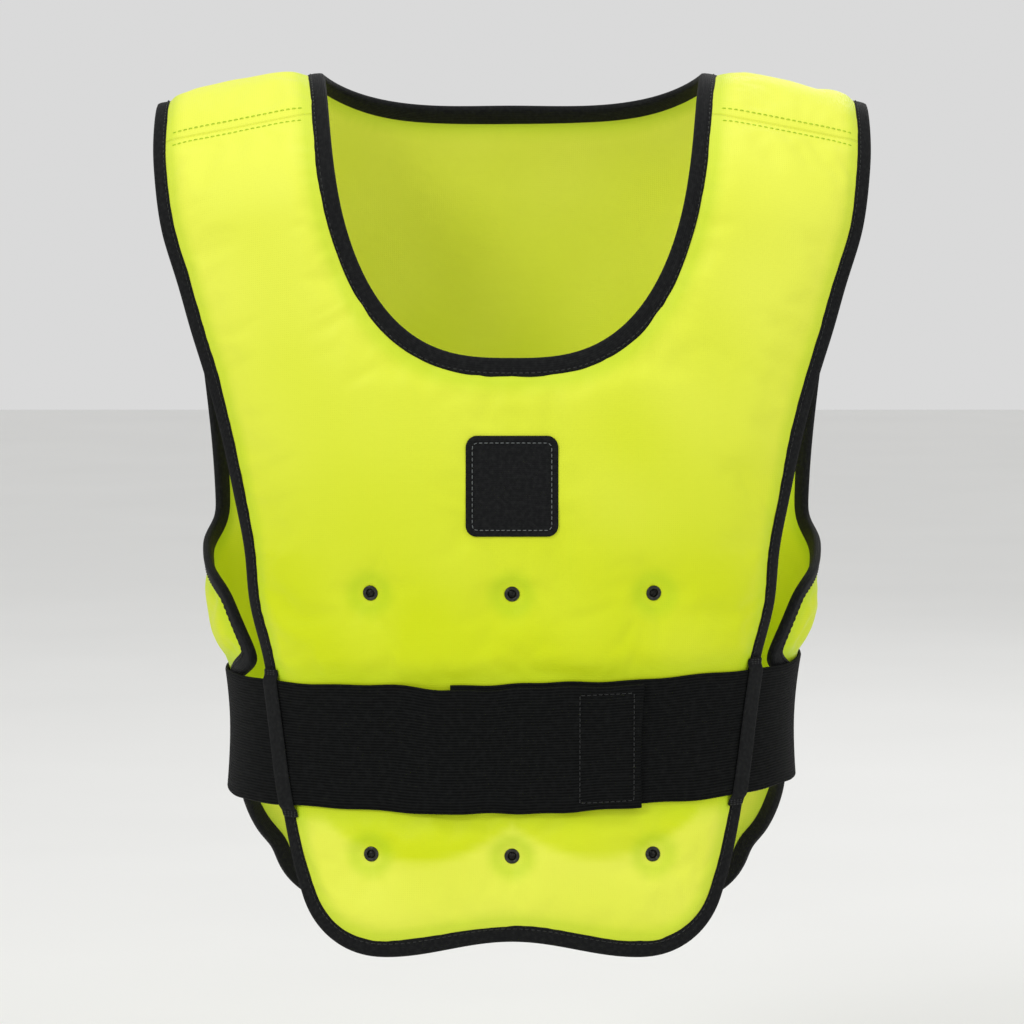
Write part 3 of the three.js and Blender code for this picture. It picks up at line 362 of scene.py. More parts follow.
def neck_outline():
    turn = np.linspace(0, np.pi / 2, 60)
    down = np.sin(turn) ** (2 / NECK_POWER)
    across = np.clip(np.cos(turn), 0, 1) ** (2 / NECK_POWER)
    seam = SEAM_RUN + FIT_GAP / 2
    front = np.column_stack([NECK_HALF * (1 - NECK_TAPER * down) * across, seam + (NECK_RUN - seam) * down])
    back_across = np.clip(np.cos(turn), 0, 1) ** (2 / BACK_NECK_POWER)
    back_down = np.sin(turn) ** (2 / BACK_NECK_POWER)
    back = np.column_stack([NECK_RIDGE_HALF * back_across, -BACK_NECK_RUN * back_down])
    raw = np.concatenate([front[::-1], back])
    return softened(resample(raw, int(lengths_along(raw)[-1] / OUTLINE_STEP)), 3)


OUTER = outer_outline()
NECK = neck_outline()


def nearest(line, point):
    return int(np.argmin(np.linalg.norm(line - np.asarray(point), axis=1)))


def crossing(line, run, beyond):
    """Index of the point of a line nearest to a run, among those beyond a wrap."""
    return int(np.argmin(np.abs(line[:, 1] - run) + np.where(line[:, 0] > beyond, 0, 1e6)))


def along(points):
    """The line of points as a function of the share of its length."""
    shares = lengths_along(points)
    shares /= shares[-1]
    return lambda share: points_at(share, shares, points)


def patch(top, bottom, left, right, columns, rows):
    """Flat points filling four lines, rows from top to bottom."""
    top_line, bottom_line = along(top)(columns), along(bottom)(columns)
    left_line, right_line = along(left)(rows), along(right)(rows)
    u, v = columns[None, :, None], rows[:, None, None]
    grid = (1 - v) * top_line[None] + v * bottom_line[None]
    grid = grid + (1 - u) * left_line[:, None] + u * right_line[:, None]
    corners = (1 - u) * (1 - v) * top_line[0] + u * (1 - v) * top_line[-1]
    corners = corners + (1 - u) * v * bottom_line[0] + u * v * bottom_line[-1]
    return grid - corners


def panel_patches(front):
    """Flat grids of a panel's left half: strap, bib and, on the back, the side tab."""
    side = 1 if front else -1
    seam = SEAM_RUN + side * SEAM_GAP / 2
    half, outer = (NECK[::-1], OUTER[::-1]) if front else (NECK, OUTER)
    neck = half[crossing(half, seam, NECK_SIDE_FROM):].copy()
    neck[0, 1] = seam
    cut = int(len(neck) * (NECK_BEND if front else BACK_NECK_BEND))
    collar, floor = neck[:cut + 1], neck[cut:]
    seam_at = crossing(outer, seam, OUTER_SIDE_FROM)
    cut_at = crossing(outer, side * (CUT_RUN if front else BACK_CUT_RUN), OUTER_SIDE_FROM)
    wrap, middle, radius, _, _ = hem_corner(front)
    corner = (wrap + radius * math.sqrt(0.5), side * (middle + radius * math.sqrt(0.5)))
    corner_at = nearest(outer, corner)
    arm = outer[seam_at:cut_at + 1].copy()
    arm[0, 1] = seam
    hem = outer[corner_at:][::-1]
    bend, cut_out = collar[-1], outer[cut_at]
    strap_columns = np.linspace(0, 1, STRAP_COLUMNS)
    strap = patch(np.array([collar[0], arm[0]]), np.array([bend, cut_out]), collar, arm,
                  strap_columns, np.linspace(0, 1, STRAP_ROWS))
    floor_length = lengths_along(floor)[-1]
    share = floor_length / (floor_length + np.linalg.norm(cut_out - bend))
    top = np.concatenate([floor[::-1], [cut_out]])
    columns = np.concatenate([np.linspace(0, share, FLOOR_COLUMNS)[:-1], share + (1 - share) * strap_columns])
    if front:
        flank = outer[cut_at:corner_at + 1]
        rows = np.linspace(0, 1, BIB_ROWS)
    else:
        root = edge_points(-TAB_TOP_RUN, -TAB_FOOT_RUN)
        first = nearest(outer, root[0])
        last = nearest(outer, root[-1])
        root = np.concatenate([[outer[first]], root[2:-2], [outer[last]]])
        flank = np.concatenate([outer[cut_at:first], root, outer[last + 1:corner_at + 1]])
        length = lengths_along(flank)
        length /= length[-1]
        high, low = length[first - cut_at], length[first - cut_at + len(root) - 1]
        tab_at = slice(ROWS_ABOVE_TAB - 1, ROWS_ABOVE_TAB - 1 + TAB_ROWS)
        rows = np.concatenate([np.linspace(0, high, ROWS_ABOVE_TAB)[:-1], np.linspace(high, low, TAB_ROWS),
                               np.linspace(low, 1, ROWS_BELOW_TAB)[1:]])
        tip_top = nearest(outer, (outer[:, 0].max(), -TAB_TIP_RUN + TAB_TIP_HEIGHT / 2))
        tip_foot = nearest(outer, (outer[:, 0].max(), -TAB_TIP_RUN - TAB_TIP_HEIGHT / 2))
        tab = patch(outer[first:tip_top + 1], outer[tip_foot:last + 1][::-1],
                    root, outer[tip_top:tip_foot + 1],
                    np.linspace(0, 1, TAB_COLUMNS), (rows[tab_at] - high) / (low - high))
    bib = patch(top, hem, np.array([floor[-1], hem[0]]), flank, columns, rows)
    bib[0, FLOOR_COLUMNS - 1:] = strap[-1]
    bib[:, 0, 0] = 0
    if front:
        return [strap, bib]
    tab[:, 0] = bib[tab_at, -1]
    return [strap, bib, tab]


def belt_run(turn):
    """Run of the waistband's middle line."""
    x, _ = section_point(section_at(WAIST_RUN), turn)
    return WAIST_RUN - BELT_TILT * x - BELT_SAG * (1 - np.cos(turn)) / 2


def below_belt(flat):
    """How far flat points lie below the waistband's middle line."""
    turn = turn_at(flat[:, 0], flat[:, 1])
    return np.abs(flat[:, 1]) - belt_run(np.where(flat[:, 1] >= 0, turn, np.pi - turn))


def distance_to(flat, line):
    """Distance of flat points from a line that is the same on both halves."""
    half = np.column_stack([np.abs(flat[:, 0]), flat[:, 1]])
    found = np.full(len(half), 1e9)
    for start in range(0, len(line), 100):
        part = line[start:start + 100]
        gaps = (half[:, None, 0] - part[None, :, 0]) ** 2 + (half[:, None, 1] - part[None, :, 1]) ** 2
        found = np.minimum(found, gaps.min(1))
    return np.sqrt(found)


def eyelet_places():
    """Run, wrap and side of each eyelet; the back's runs are below 0."""
    return [
        (side * run, wrap, side)
        for side in (1, -1)
        for run in (EYELET_UPPER_RUN, EYELET_LOWER_RUN)
        for wrap in (-EYELET_PITCH, 0.0, EYELET_PITCH)
    ]


def waves(flat, length, seed):
    """Soft even unevenness from -1 to 1 with about that wavelength."""
    rng = np.random.default_rng(seed)
    total = np.zeros(len(flat))
    for _ in range(7):
        angle, phase, stretch = rng.uniform(0, 2 * np.pi), rng.uniform(0, 2 * np.pi), rng.uniform(0.7, 1.4)
        wave = 2 * np.pi / (length * stretch)
        total += np.sin(wave * (flat[:, 0] * math.cos(angle) + flat[:, 1] * math.sin(angle)) + phase)
    return total / 7 * 1.6


# Meshes


def deselect():
    for each in bpy.context.selected_objects:
        each.select_set(False)


def new_object(name, verts, faces, material, uv=None, tones=None):
    """A smooth piece in the scene that rides on the vest's one body."""
    mesh = bpy.data.meshes.new(name)
    mesh.from_pydata(np.asarray(verts).tolist(), [], faces)
    piece = bpy.data.objects.new(name, mesh)
    bpy.context.scene.collection.objects.link(piece)
    if uv is not None:
        layer = mesh.uv_layers.new(name="flat")
        index = np.empty(len(mesh.loops), np.int32)
        mesh.loops.foreach_get("vertex_index", index)
        layer.data.foreach_set("uv", np.asarray(uv, np.float32)[index].ravel())
    for label, values in (tones or {}).items():
        mesh.attributes.new(label, "FLOAT", "POINT").data.foreach_set("value", np.asarray(values, np.float32))
    shell = bmesh.new()
    shell.from_mesh(mesh)
    bmesh.ops.recalc_face_normals(shell, faces=shell.faces)
    shell.to_mesh(mesh)
    shell.free()
    mesh.shade_smooth()
    mesh.materials.append(material)
    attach(piece, "root")
    return piece


def ring_faces(rings, size, closed):
    """Faces of a body swept through rings of points, and its end caps where it is open."""
    ring = np.arange(rings if closed else rings - 1)[:, None]
    here, after = ring * size, (ring + 1) % rings * size
    k = np.arange(size)[None, :]
    other = (k + 1) % size
    quads = np.stack([here + k, here + other, after + other, after + k], axis=-1).reshape(-1, 4).tolist()
    if not closed:
        quads.append(list(range(size)))
        quads.append(list(range((rings - 1) * size, rings * size)))
    return quads


def rounded(piece):
    subdivision = piece.modifiers.new("rounded", "SUBSURF")
    subdivision.levels = subdivision.render_levels = 1


def paired(along_it, across_it):
    """Every value along a sweep with every value across it."""
    return np.stack(np.broadcast_arrays(along_it[:, None], across_it[None]), axis=-1)


def threads(name, rows, radius, material):
    """Many short sewn stitches, each a thread that dips into the cloth at both ends."""
    starts, ends, normals = (np.concatenate(parts) for parts in zip(*rows))
    sides = 6
    along_share = np.array([0.0, 0.18, 0.5, 0.82, 1.0])
    width = np.array([0.45, 1.0, 1.0, 1.0, 0.45]) * radius
    rise = np.array([-0.9, 0.35, 0.75, 0.35, -0.9]) * radius
    span = ends - starts
    side = np.cross(span, normals)
    side /= np.linalg.norm(side, axis=1, keepdims=True)
    angle = np.arange(sides) / sides * 2 * np.pi
    centre = starts[:, None] + span[:, None] * along_share[None, :, None]
    centre = centre + normals[:, None] * rise[None, :, None]
    round_about = (
        side[:, None, None] * np.cos(angle)[None, None, :, None]
        + normals[:, None, None] * np.sin(angle)[None, None, :, None]
    )
    verts = (centre[:, :, None] + round_about * width[None, :, None, None]).reshape(-1, 3)
    one = ring_faces(len(along_share), sides, False)
    size = len(along_share) * sides
    faces = [[v + k * size for v in face] for k in range(len(starts)) for face in one]
    return new_object(name, verts, faces, material)


def stitches_on(flat, lift, length, gap):
    """Start, end and outward direction of stitches along a flat line."""
    flat = np.asarray(flat, float)
    walked = lengths_along(flat)
    lift = np.broadcast_to(lift, len(flat))
    count = int(walked[-1] / (length + gap))
    begin = np.arange(count) * walked[-1] / count + gap / 2
    found = []
    for at in (begin, begin + length):
        found.append((points_at(at, walked, flat), np.interp(at, walked, lift)))
    starts, ends = (drape(spot, rise) for spot, rise in found)
    middle = (found[0][0] + found[1][0]) / 2
    normals = form_normal(turn_at(middle[:, 0], middle[:, 1]), middle[:, 1])
    return starts, ends, normals


# Materials


def node_material(name, colour, roughness, specular=0.4, sheen=0.0):
    material = bpy.data.materials.new(name)
    material.use_nodes = True
    nodes, links = material.node_tree.nodes, material.node_tree.links
    shader = nodes["Principled BSDF"]
    shader.inputs["Base Color"].default_value = (*colour, 1)
    shader.inputs["Roughness"].default_value = roughness
    shader.inputs["Specular IOR Level"].default_value = specular
    shader.inputs["Sheen Weight"].default_value = sheen
    shader.inputs["Sheen Roughness"].default_value = 0.4
    return material, nodes, links, shader


def add(nodes, kind, **values):
    """A node with its settings and plain inputs."""
    node = nodes.new(kind)
    for key, value in values.items():
        if hasattr(node, key):
            setattr(node, key, value)
        else:
            node.inputs[key.replace("_", " ")].default_value = value
    return node


def mixed(nodes, links, factor, first, second, blend="MIX"):
    """A colour mix; first and second are sockets or plain colours."""
    node = nodes.new("ShaderNodeMix")
    node.data_type = "RGBA"
    node.blend_type = blend
    for socket, value in ((node.inputs[0], factor), (node.inputs[6], first), (node.inputs[7], second)):
        if isinstance(value, bpy.types.NodeSocket):
            links.new(value, socket)
        elif isinstance(value, (int, float)):
            socket.default_value = value
        else:
            socket.default_value = (*value[:3], 1)
    return node.outputs[2]


def ramp(nodes, links, source, low, high):
    """A value spread from 0 at low to 1 at high."""
    node = nodes.new("ShaderNodeMapRange")
    links.new(source, node.inputs["Value"])
    node.inputs["From Min"].default_value = low
    node.inputs["From Max"].default_value = high
    return node.outputs["Result"]


def flat_place(nodes):
    return add(nodes, "ShaderNodeUVMap", uv_map="flat").outputs["UV"]


def object_place(nodes):
    return nodes.new("ShaderNodeTexCoord").outputs["Object"]


def noise(nodes, links, vector, scale, detail, roughness=0.5):
    node = add(nodes, "ShaderNodeTexNoise", Scale=scale, Detail=detail, Roughness=roughness)
    links.new(vector, node.inputs["Vector"])
    return node.outputs["Fac"]


def bands(nodes, links, vector, direction, pitch, distortion, detail_scale=1.0):
    """Threads side by side at a pitch in metres."""
    wave = add(nodes, "ShaderNodeTexWave", wave_type="BANDS", bands_direction=direction,
               Scale=0.1 * math.pi / pitch, Distortion=distortion, Detail_Scale=detail_scale)
    links.new(vector, wave.inputs["Vector"])
    return wave.outputs["Fac"]


def woven_height(nodes, links, vector, pitch):
    """Height of a plain weave: two crossed sets of threads, the higher one showing."""
    both = add(nodes, "ShaderNodeMath", operation="MAXIMUM")
    for socket, direction in zip(both.inputs, ("X", "Y")):
        links.new(bands(nodes, links, vector, direction, 2 * pitch, 0.6, 2.0), socket)
    return both.outputs[0]


def ribbed_height(nodes, links, rib, cross, share):
    """Height of ribs with finer threads across them, which count by their share."""
    woven = add(nodes, "ShaderNodeMath", operation="MULTIPLY_ADD")
    woven.inputs[1].default_value = share
    links.new(cross, woven.inputs[0])
    links.new(rib, woven.inputs[2])
    return woven.outputs[0]


def bumped(nodes, links, shader, height, strength, distance, normal=None):
    """A bump over another one or over none, joined to the shader where one is given."""
    node = add(nodes, "ShaderNodeBump", Strength=strength, Distance=distance)
    links.new(height, node.inputs["Height"])
    if normal is not None:
        links.new(normal, node.inputs["Normal"])
    if shader is not None:
        links.new(node.outputs["Normal"], shader.inputs["Normal"])
    return node.outputs["Normal"]


def lime_shell(name, colours):
    """Coated lime-yellow cloth: fine weave under a soft coating, paler as painted highlight, deeper and
    greener as painted shade where it is squeezed.
    """
    material, nodes, links, shader = node_material(name, colours.lime, 0.46, 0.18, 0.02)
    uv = flat_place(nodes)
    pale = add(nodes, "ShaderNodeAttribute", attribute_name="pale")
    pressed_shade = add(nodes, "ShaderNodeAttribute", attribute_name="pressed_shade")
    cloud = noise(nodes, links, object_place(nodes), 9.0, 3.0)
    speck = noise(nodes, links, uv, 900.0, 2.0, 0.6)
    # painted light: the pale attribute mixes in the pale lime as painted highlight, its absence leaves
    # painted shade
    base = mixed(nodes, links, pale.outputs["Fac"], colours.lime, colours.lime_pale)
    # painted shade: greener lime where the padding is squeezed at the binding, round the eyelets and under
    # the waistband
    base = mixed(nodes, links, pressed_shade.outputs["Fac"], base, colours.lime_shade_and_thread)
    cloudy = ramp(nodes, links, cloud, 0.3, 0.75)
    base = mixed(nodes, links, cloudy, base, mixed(nodes, links, 0.12, base, colours.lime_pale))
    weave = woven_height(nodes, links, uv, 0.0006)
    tint = mixed(nodes, links, 0.10, (1.0, 1.0, 1.0), ramp(nodes, links, weave, -0.6, 1.0))
    base = mixed(nodes, links, 1.0, base, tint, "MULTIPLY")
    links.new(base, shader.inputs["Base Color"])
    # painted light: the cloth also emits its own colour, a painted emission standing in for its fluorescence
    links.new(base, shader.inputs["Emission Color"])
    shader.inputs["Emission Strength"].default_value = colours.painted_glow
    rough = add(nodes, "ShaderNodeMapRange", To_Min=0.4, To_Max=0.56)
    links.new(speck, rough.inputs["Value"])
    links.new(rough.outputs["Result"], shader.inputs["Roughness"])
    normal = bumped(nodes, links, None, weave, 0.35, 0.0002)
    bumped(nodes, links, shader, speck, 0.12, 0.0004, normal)
    return material


def woven_tape(name, colours, pitch, strength):
    """Black woven tape with ribs along it and worn, slightly paler high spots."""
    material, nodes, links, shader = node_material(name, colours.black, 0.7, 0.12, 0.02)
    uv = flat_place(nodes)
    rib = bands(nodes, links, uv, "Y", pitch, 0.4)
    cross = bands(nodes, links, uv, "X", pitch * 0.8, 0.8)
    speck = noise(nodes, links, uv, 420.0, 3.0)
    worn = ramp(nodes, links, speck, 0.42, 0.8)
    links.new(mixed(nodes, links, worn, colours.black, colours.black_worn), shader.inputs["Base Color"])
    woven = ribbed_height(nodes, links, rib, cross, 0.45)
    normal = bumped(nodes, links, None, woven, strength, 0.0003)
    bumped(nodes, links, shader, speck, 0.15, 0.0003, normal)
    return material


def elastic_web(name, colours):
    """Black woven elastic: close ribs along the band, crossed by fine covered rubber cords."""
    material, nodes, links, shader = node_material(name, colours.black_elastic, 0.8, 0.06, 0.01)
    uv = flat_place(nodes)
    rib = bands(nodes, links, uv, "Y", 0.0017, 0.25)
    cross = bands(nodes, links, uv, "X", 0.0008, 0.5)
    fuzz = noise(nodes, links, uv, 260.0, 4.0)
    ribbed = ramp(nodes, links, rib, 0.2, 1.6)
    base = mixed(nodes, links, ribbed, colours.black_elastic, colours.black_worn)
    faded = mixed(nodes, links, ramp(nodes, links, fuzz, 0.45, 1.1), base, colours.black_worn)
    links.new(faded, shader.inputs["Base Color"])
    normal = bumped(nodes, links, None, ribbed_height(nodes, links, rib, cross, 0.4), 0.6, 0.0005)
    bumped(nodes, links, shader, fuzz, 0.12, 0.0005, normal)
    return material


def plain_thread(name, colour):
    material, nodes, links, shader = node_material(name, colour, 0.6, 0.35, 0.2)
    twist = noise(nodes, links, object_place(nodes), 2500.0, 1.0)
    tones = [tuple(min(channel * share, 1) for channel in colour) for share in (0.65, 1.35)]
    links.new(mixed(nodes, links, ramp(nodes, links, twist, 0.3, 0.7), *tones), shader.inputs["Base Color"])
    bumped(nodes, links, shader, twist, 0.3, 0.0002)
    return material


def lacquered_metal(name, colours):
    """Black lacquer on a rolled metal rim, rubbed a little paler."""
    material, nodes, links, shader = node_material(name, colours.eyelet, 0.34, 0.5)
    shader.inputs["Metallic"].default_value = 0.35
    rub = noise(nodes, links, object_place(nodes), 700.0, 4.0)
    worn = ramp(nodes, links, rub, 0.5, 0.85)
    links.new(mixed(nodes, links, worn, colours.eyelet, colours.eyelet_rubbed), shader.inputs["Base Color"])
    bumped(nodes, links, shader, rub, 0.08, 0.0002)
    return material


# Pieces


def made(maker, name, *values):
    """The named material, made once."""
    return bpy.data.materials.get(name) or maker(name, *values)


def edge_distance(flat):
    """Distance of flat points from the nearest bound edge."""
    return np.minimum(distance_to(flat, OUTER), distance_to(flat, NECK))


def padding_lifts(flat, sizes):
    """Outer and inner lift of the padding at flat points, with its tone attributes."""
    edge = edge_distance(flat)
    swell = 1 - (1 - np.clip((edge - EDGE_HELD) / SWELL_REACH, 0, 1)) ** SWELL_POWER
    outer = EDGE_HIGH + (sizes.padding * 1000 - EDGE_HIGH) * swell
    inner = EDGE_LOW * (1 - smooth((edge - BINDING_REACH) / 12))
    away = smooth((edge - BINDING_REACH) / 14)
    past = np.abs(below_belt(flat)) - sizes.waistband * 500
    on_body = np.abs(flat[:, 1]) > DOME_RUN
    squeeze = np.where(on_body, 1 - smooth((past - 1) / BELT_EASE), 0)
    outer = outer + (np.minimum(outer, BELT_PRESSED) - outer) * squeeze
    # a roll of padding bulges above and below the waistband, broken by short folds
    rolled = np.where(on_body, bump((past - ROLL_MIDDLE) / ROLL_REACH), 0) * away
    folds = np.sin(flat[:, 0] / 15 + 2.2 * np.sin(flat[:, 1] / 38)) + 0.6 * np.sin(flat[:, 0] / 6.3 + 1.3)
    outer += rolled * (ROLL_RISE + 0.35 * folds)
    # puckers beside the sewn edges
    pucker = bump((edge - 12) / 9)
    outer += 0.16 * pucker * waves(flat, 9, 5) * smooth(edge / 8)
    # slack in the cloth
    slack = 0.55 * waves(flat, 120, 1) + 0.2 * waves(flat, 42, 2) + 0.06 * waves(flat, 14, 3)
    slack += 0.28 * waves(flat, 24, 6) * bump(flat[:, 1] / 85)
    outer += away * slack * smooth(patch_gap(flat) / 12)
    inner -= away * 0.25 * (1 + waves(flat, 60, 4))
    # the seam over the shoulder's front
    to_seam = np.abs(flat[:, 1] - SEAM_RUN)
    groove = SEAM_DEPTH * np.exp(-(to_seam / SEAM_WIDTH) ** 2) * away
    outer -= groove + SEAM_SINK * np.exp(-(to_seam / SEAM_SPREAD) ** 2) * away
    # dimples at the eyelets, with short creases running out of them
    ring = np.zeros(len(flat))
    for run, wrap, _ in eyelet_places():
        across, down = flat[:, 0] - wrap, flat[:, 1] - run
        radius = np.hypot(across, down)
        near = radius < DENT_WITHIN
        dent = np.exp(-(np.clip(radius - DENT_FLAT, 0, None) / DENT_REACH) ** DENT_POWER)
        creases = 0.25 * np.sin(7 * np.arctan2(down, across) + wrap) * bump((radius - 12) / 9)
        outer = np.where(near, outer * (1 - dent) + (EYELET_SEAT - DENT_DEPTH) * dent + creases, outer)
        inner = np.where(near, inner * (1 - dent) + 0.1 * dent, inner)
        ring = np.maximum(ring, np.where(near, bump((radius - 9) / 8), 0))
    outer = np.maximum(outer, inner + LEAST_PADDING)
    # tone attributes of painted light: pale for painted highlight and shade, the other for painted shade
    # where the padding is squeezed
    tones = {
        "pale": painted_light_tone(flat),
        "pressed_shade": np.clip(0.5 * bump((edge - 10) / 9) + 0.5 * ring + 0.35 * squeeze, 0, 1),
    }
    return outer, inner, tones


def sewn_hold(flat, sizes):
    """How firmly the shell cloth is held: 1 where it is sewn or held down, 0 where it is free."""
    hold = 1 - smooth((edge_distance(flat) - 8.5) / 3)
    past = np.abs(below_belt(flat)) - sizes.waistband * 500
    hold = np.maximum(hold, np.where(np.abs(flat[:, 1]) > DOME_RUN, 1 - smooth((past - 2) / 5), 0))
    hold = np.maximum(hold, 1 - smooth((np.abs(flat[:, 1] - SEAM_RUN) - 6) / 3))
    hold = np.maximum(hold, 1 - smooth((patch_gap(flat) - 1) / 4))
    for run, wrap, _ in eyelet_places():
        hold = np.maximum(hold, 1 - smooth((np.hypot(flat[:, 0] - wrap, flat[:, 1] - run) - 5) / 3))
    return hold


def patch_gap(flat):
    """Distance of flat points outside the chest patch, 0 under it."""
    across = np.maximum(np.abs(flat[:, 0]) - PATCH_HALF_WIDTH, 0)
    return np.hypot(across, np.maximum(np.abs(flat[:, 1] - PATCH_RUN) - PATCH_HALF_HEIGHT, 0))


def settled(flat, quads, outer, sizes):
    """Change of lift when the shell cloth, cut a little large, is blown out against its sewn lines."""
    start = drape(flat, outer)
    out = form_normal(turn_at(flat[:, 0], flat[:, 1]), flat[:, 1])
    corner = start[quads]
    facing = np.cross(corner[:, 2] - corner[:, 0], corner[:, 3] - corner[:, 1])
    if (facing * out[quads[:, 0]]).sum() < 0:
        quads = quads[:, ::-1]
    mesh = bpy.data.meshes.new("settling")
    mesh.from_pydata(start.tolist(), [], quads.tolist())
    cloth = bpy.data.objects.new("settling", mesh)
    scene = bpy.context.scene
    scene.collection.objects.link(cloth)
    held = cloth.vertex_groups.new(name="sewn")
    for index, weight in enumerate(sewn_hold(flat, sizes).tolist()):
        if weight > HELD_FROM:
            held.add([index], weight, "REPLACE")
    settling = cloth.modifiers.new("settling", "CLOTH")
    rules = settling.settings
    rules.quality = 5
    rules.mass = 0.12
    rules.tension_stiffness = rules.compression_stiffness = 14
    rules.shear_stiffness = 5
    rules.bending_stiffness = 0.25
    rules.vertex_group_mass = "sewn"
    rules.use_pressure = True
    rules.uniform_pressure_force = sizes.pressure
    rules.shrink_min = -sizes.slack
    rules.effector_weights.gravity = 0
    settling.collision_settings.use_collision = False
    settling.point_cache.frame_start = 1
    settling.point_cache.frame_end = SETTLING_FRAMES
    for moment in range(1, SETTLING_FRAMES + 1):
        scene.frame_set(moment)
    moved = cloth.evaluated_get(bpy.context.evaluated_depsgraph_get()).to_mesh()
    places = np.empty(len(flat) * 3)
    moved.vertices.foreach_get("co", places)
    bpy.data.objects.remove(cloth)
    bpy.data.meshes.remove(mesh)
    scene.frame_set(1)
    return np.clip(((places.reshape(-1, 3) - start) * out).sum(1) / MM, RISE_LOW, RISE_HIGH)


def painted_light_tone(flat):
    """How far the cloth goes from its deep lime towards its pale lime: painted highlight and painted shade,
    with a little random unevenness.
    """
    length = np.abs(flat[:, 1])
    # painted highlight over the shoulders and towards the sides, painted shade above the waistband
    runs = [0, 60, 110, 160, 205, 262, 322, 368]
    found = np.interp(length, runs, [1.0, 0.9, 0.72, 0.62, 0.5, 0.3, 0.1, 0.0])
    side = smooth((np.abs(flat[:, 0]) - 90) / 70)
    found = found + side * np.where(length < 300, 0.12, 0)
    # painted shadow: two deeper arcs hang below the waistband, one on each side of the middle
    below = below_belt(flat) - BELT_HALF
    arc = 24 * np.clip(1 - ((np.abs(flat[:, 0]) - 52) / 56) ** 2, 0, 1) + 2
    lower = 0.08 + 0.72 * smooth((below - arc) / 7)
    found = np.where(below > 0, lower * (1 - 0.25 * smooth((below - 62) / 18)), found)
    return np.clip(found + 0.1 * waves(flat, 70, 8), 0, 1)


def pierced(flat, quads):
    """The flat grid with a round hole at each eyelet."""
    middle = flat[quads].mean(1)
    kept = np.ones(len(quads), bool)
    for run, wrap, _ in eyelet_places():
        centre = np.array([wrap, run])
        inside = np.linalg.norm(middle - centre, axis=1) < HOLE_PICK
        if not inside.any():
            continue
        ring = np.intersect1d(quads[inside], quads[~inside])
        away = flat[ring] - centre
        flat[ring] = centre + away / np.linalg.norm(away, axis=1, keepdims=True) * HOLE_RADIUS
        kept &= ~inside
    used, quads = np.unique(quads[kept], return_inverse=True)
    return flat[used], quads.reshape(-1, 4)


def padding_grid(front):
    """Flat points and quads of a whole panel, its left half mirrored and welded."""
    flats, quads, offset = [], [], 0
    for grid in panel_patches(front):
        rows, columns = grid.shape[:2]
        index = np.arange(rows * columns).reshape(rows, columns) + offset
        cells = np.stack([index[:-1, :-1], index[:-1, 1:], index[1:, 1:], index[1:, :-1]], axis=-1)
        cells = cells.reshape(-1, 4)
        flats += [grid.reshape(-1, 2), grid.reshape(-1, 2) * MIRROR]
        quads += [cells, cells[:, ::-1] + rows * columns]
        offset += 2 * rows * columns
    flat, quads = np.concatenate(flats), np.concatenate(quads)
    key = np.round(flat * WELD_STEPS).astype(np.int64)
    _, first, welded = np.unique(key, axis=0, return_index=True, return_inverse=True)
    quads = welded.reshape(-1)[quads]
    return pierced(flat[first], quads[[len(set(quad)) == 4 for quad in quads.tolist()]])


def open_edges(quads):
    """Pairs of points on the grid's outline and round its holes, in the quads' own direction."""
    edges = {}
    for quad in quads.tolist():
        for pair in zip(quad, quad[1:] + quad[:1]):
            if pair[::-1] in edges:
                del edges[pair[::-1]]
            else:
                edges[pair] = True
    return edges


def make_padding(front, sizes, colours):
    """One panel as a closed padded shell over a fine flat grid."""
    flat, quads = padding_grid(front)
    outer, inner, tones = padding_lifts(flat, sizes)
    outer = np.maximum(outer + settled(flat, quads, outer, sizes), inner + LEAST_PADDING)
    count = len(flat)
    rim = [[a, a + count, b + count, b] for a, b in open_edges(quads)]
    faces = quads.tolist() + (quads[:, ::-1] + count).tolist() + rim
    verts = np.concatenate([drape(flat, outer), drape(flat, inner)])
    uv = np.concatenate([flat, flat]) * MM
    tones = {label: np.concatenate([values, values]) for label, values in tones.items()}
    material = made(lime_shell, "lime_shell", colours)
    name = "front_padding" if front else "back_padding"
    piece = new_object(name, verts, faces, material, uv, tones)
    # both edges of the rim stay crisp
    on_rim = np.zeros(2 * count, bool)
    on_rim[np.array(rim).ravel()] = True
    ends = np.empty(2 * len(piece.data.edges), np.int32)
    piece.data.edges.foreach_get("vertices", ends)
    ends = ends.reshape(-1, 2)
    crisp = on_rim[ends].all(1) & ((ends[:, 0] < count) == (ends[:, 1] < count))
    crease = piece.data.attributes.new("crease_edge", "FLOAT", "EDGE")
    crease.data.foreach_set("value", crisp.astype(np.float32))
    rounded(piece)
    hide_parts("front_panel" if front else "back_panel")


def closed_line(half):
    """The whole closed line from its half, which starts and ends on the centre line."""
    return np.concatenate([half, (half[1:-1] * MIRROR)[::-1]])


def line_frames(line):
    """Direction square to a closed line at each of its points, always to its left."""
    ahead = np.roll(line, -2, axis=0) - np.roll(line, 2, axis=0)
    ahead /= np.linalg.norm(ahead, axis=1, keepdims=True)
    return np.column_stack([-ahead[:, 1], ahead[:, 0]])


def cloth_side(line, inward, within):
    """The directions turned towards the cloth; within holds a place on the line and a point in the cloth."""
    at = int(np.argmin(np.linalg.norm(line - within[0], axis=1)))
    return inward if np.dot(inward[at], np.asarray(within[1]) - line[at]) > 0 else -inward


def tape_path(half, within):
    """Every second point of a closed line, with the directions in towards the cloth."""
    line = closed_line(half)[::2]
    return line, cloth_side(line, line_frames(line), within)


OUTER_WITHIN = ((0.0, 523.0), (0.0, 480.0))
NECK_WITHIN = ((0.0, 197.0), (0.0, 240.0))


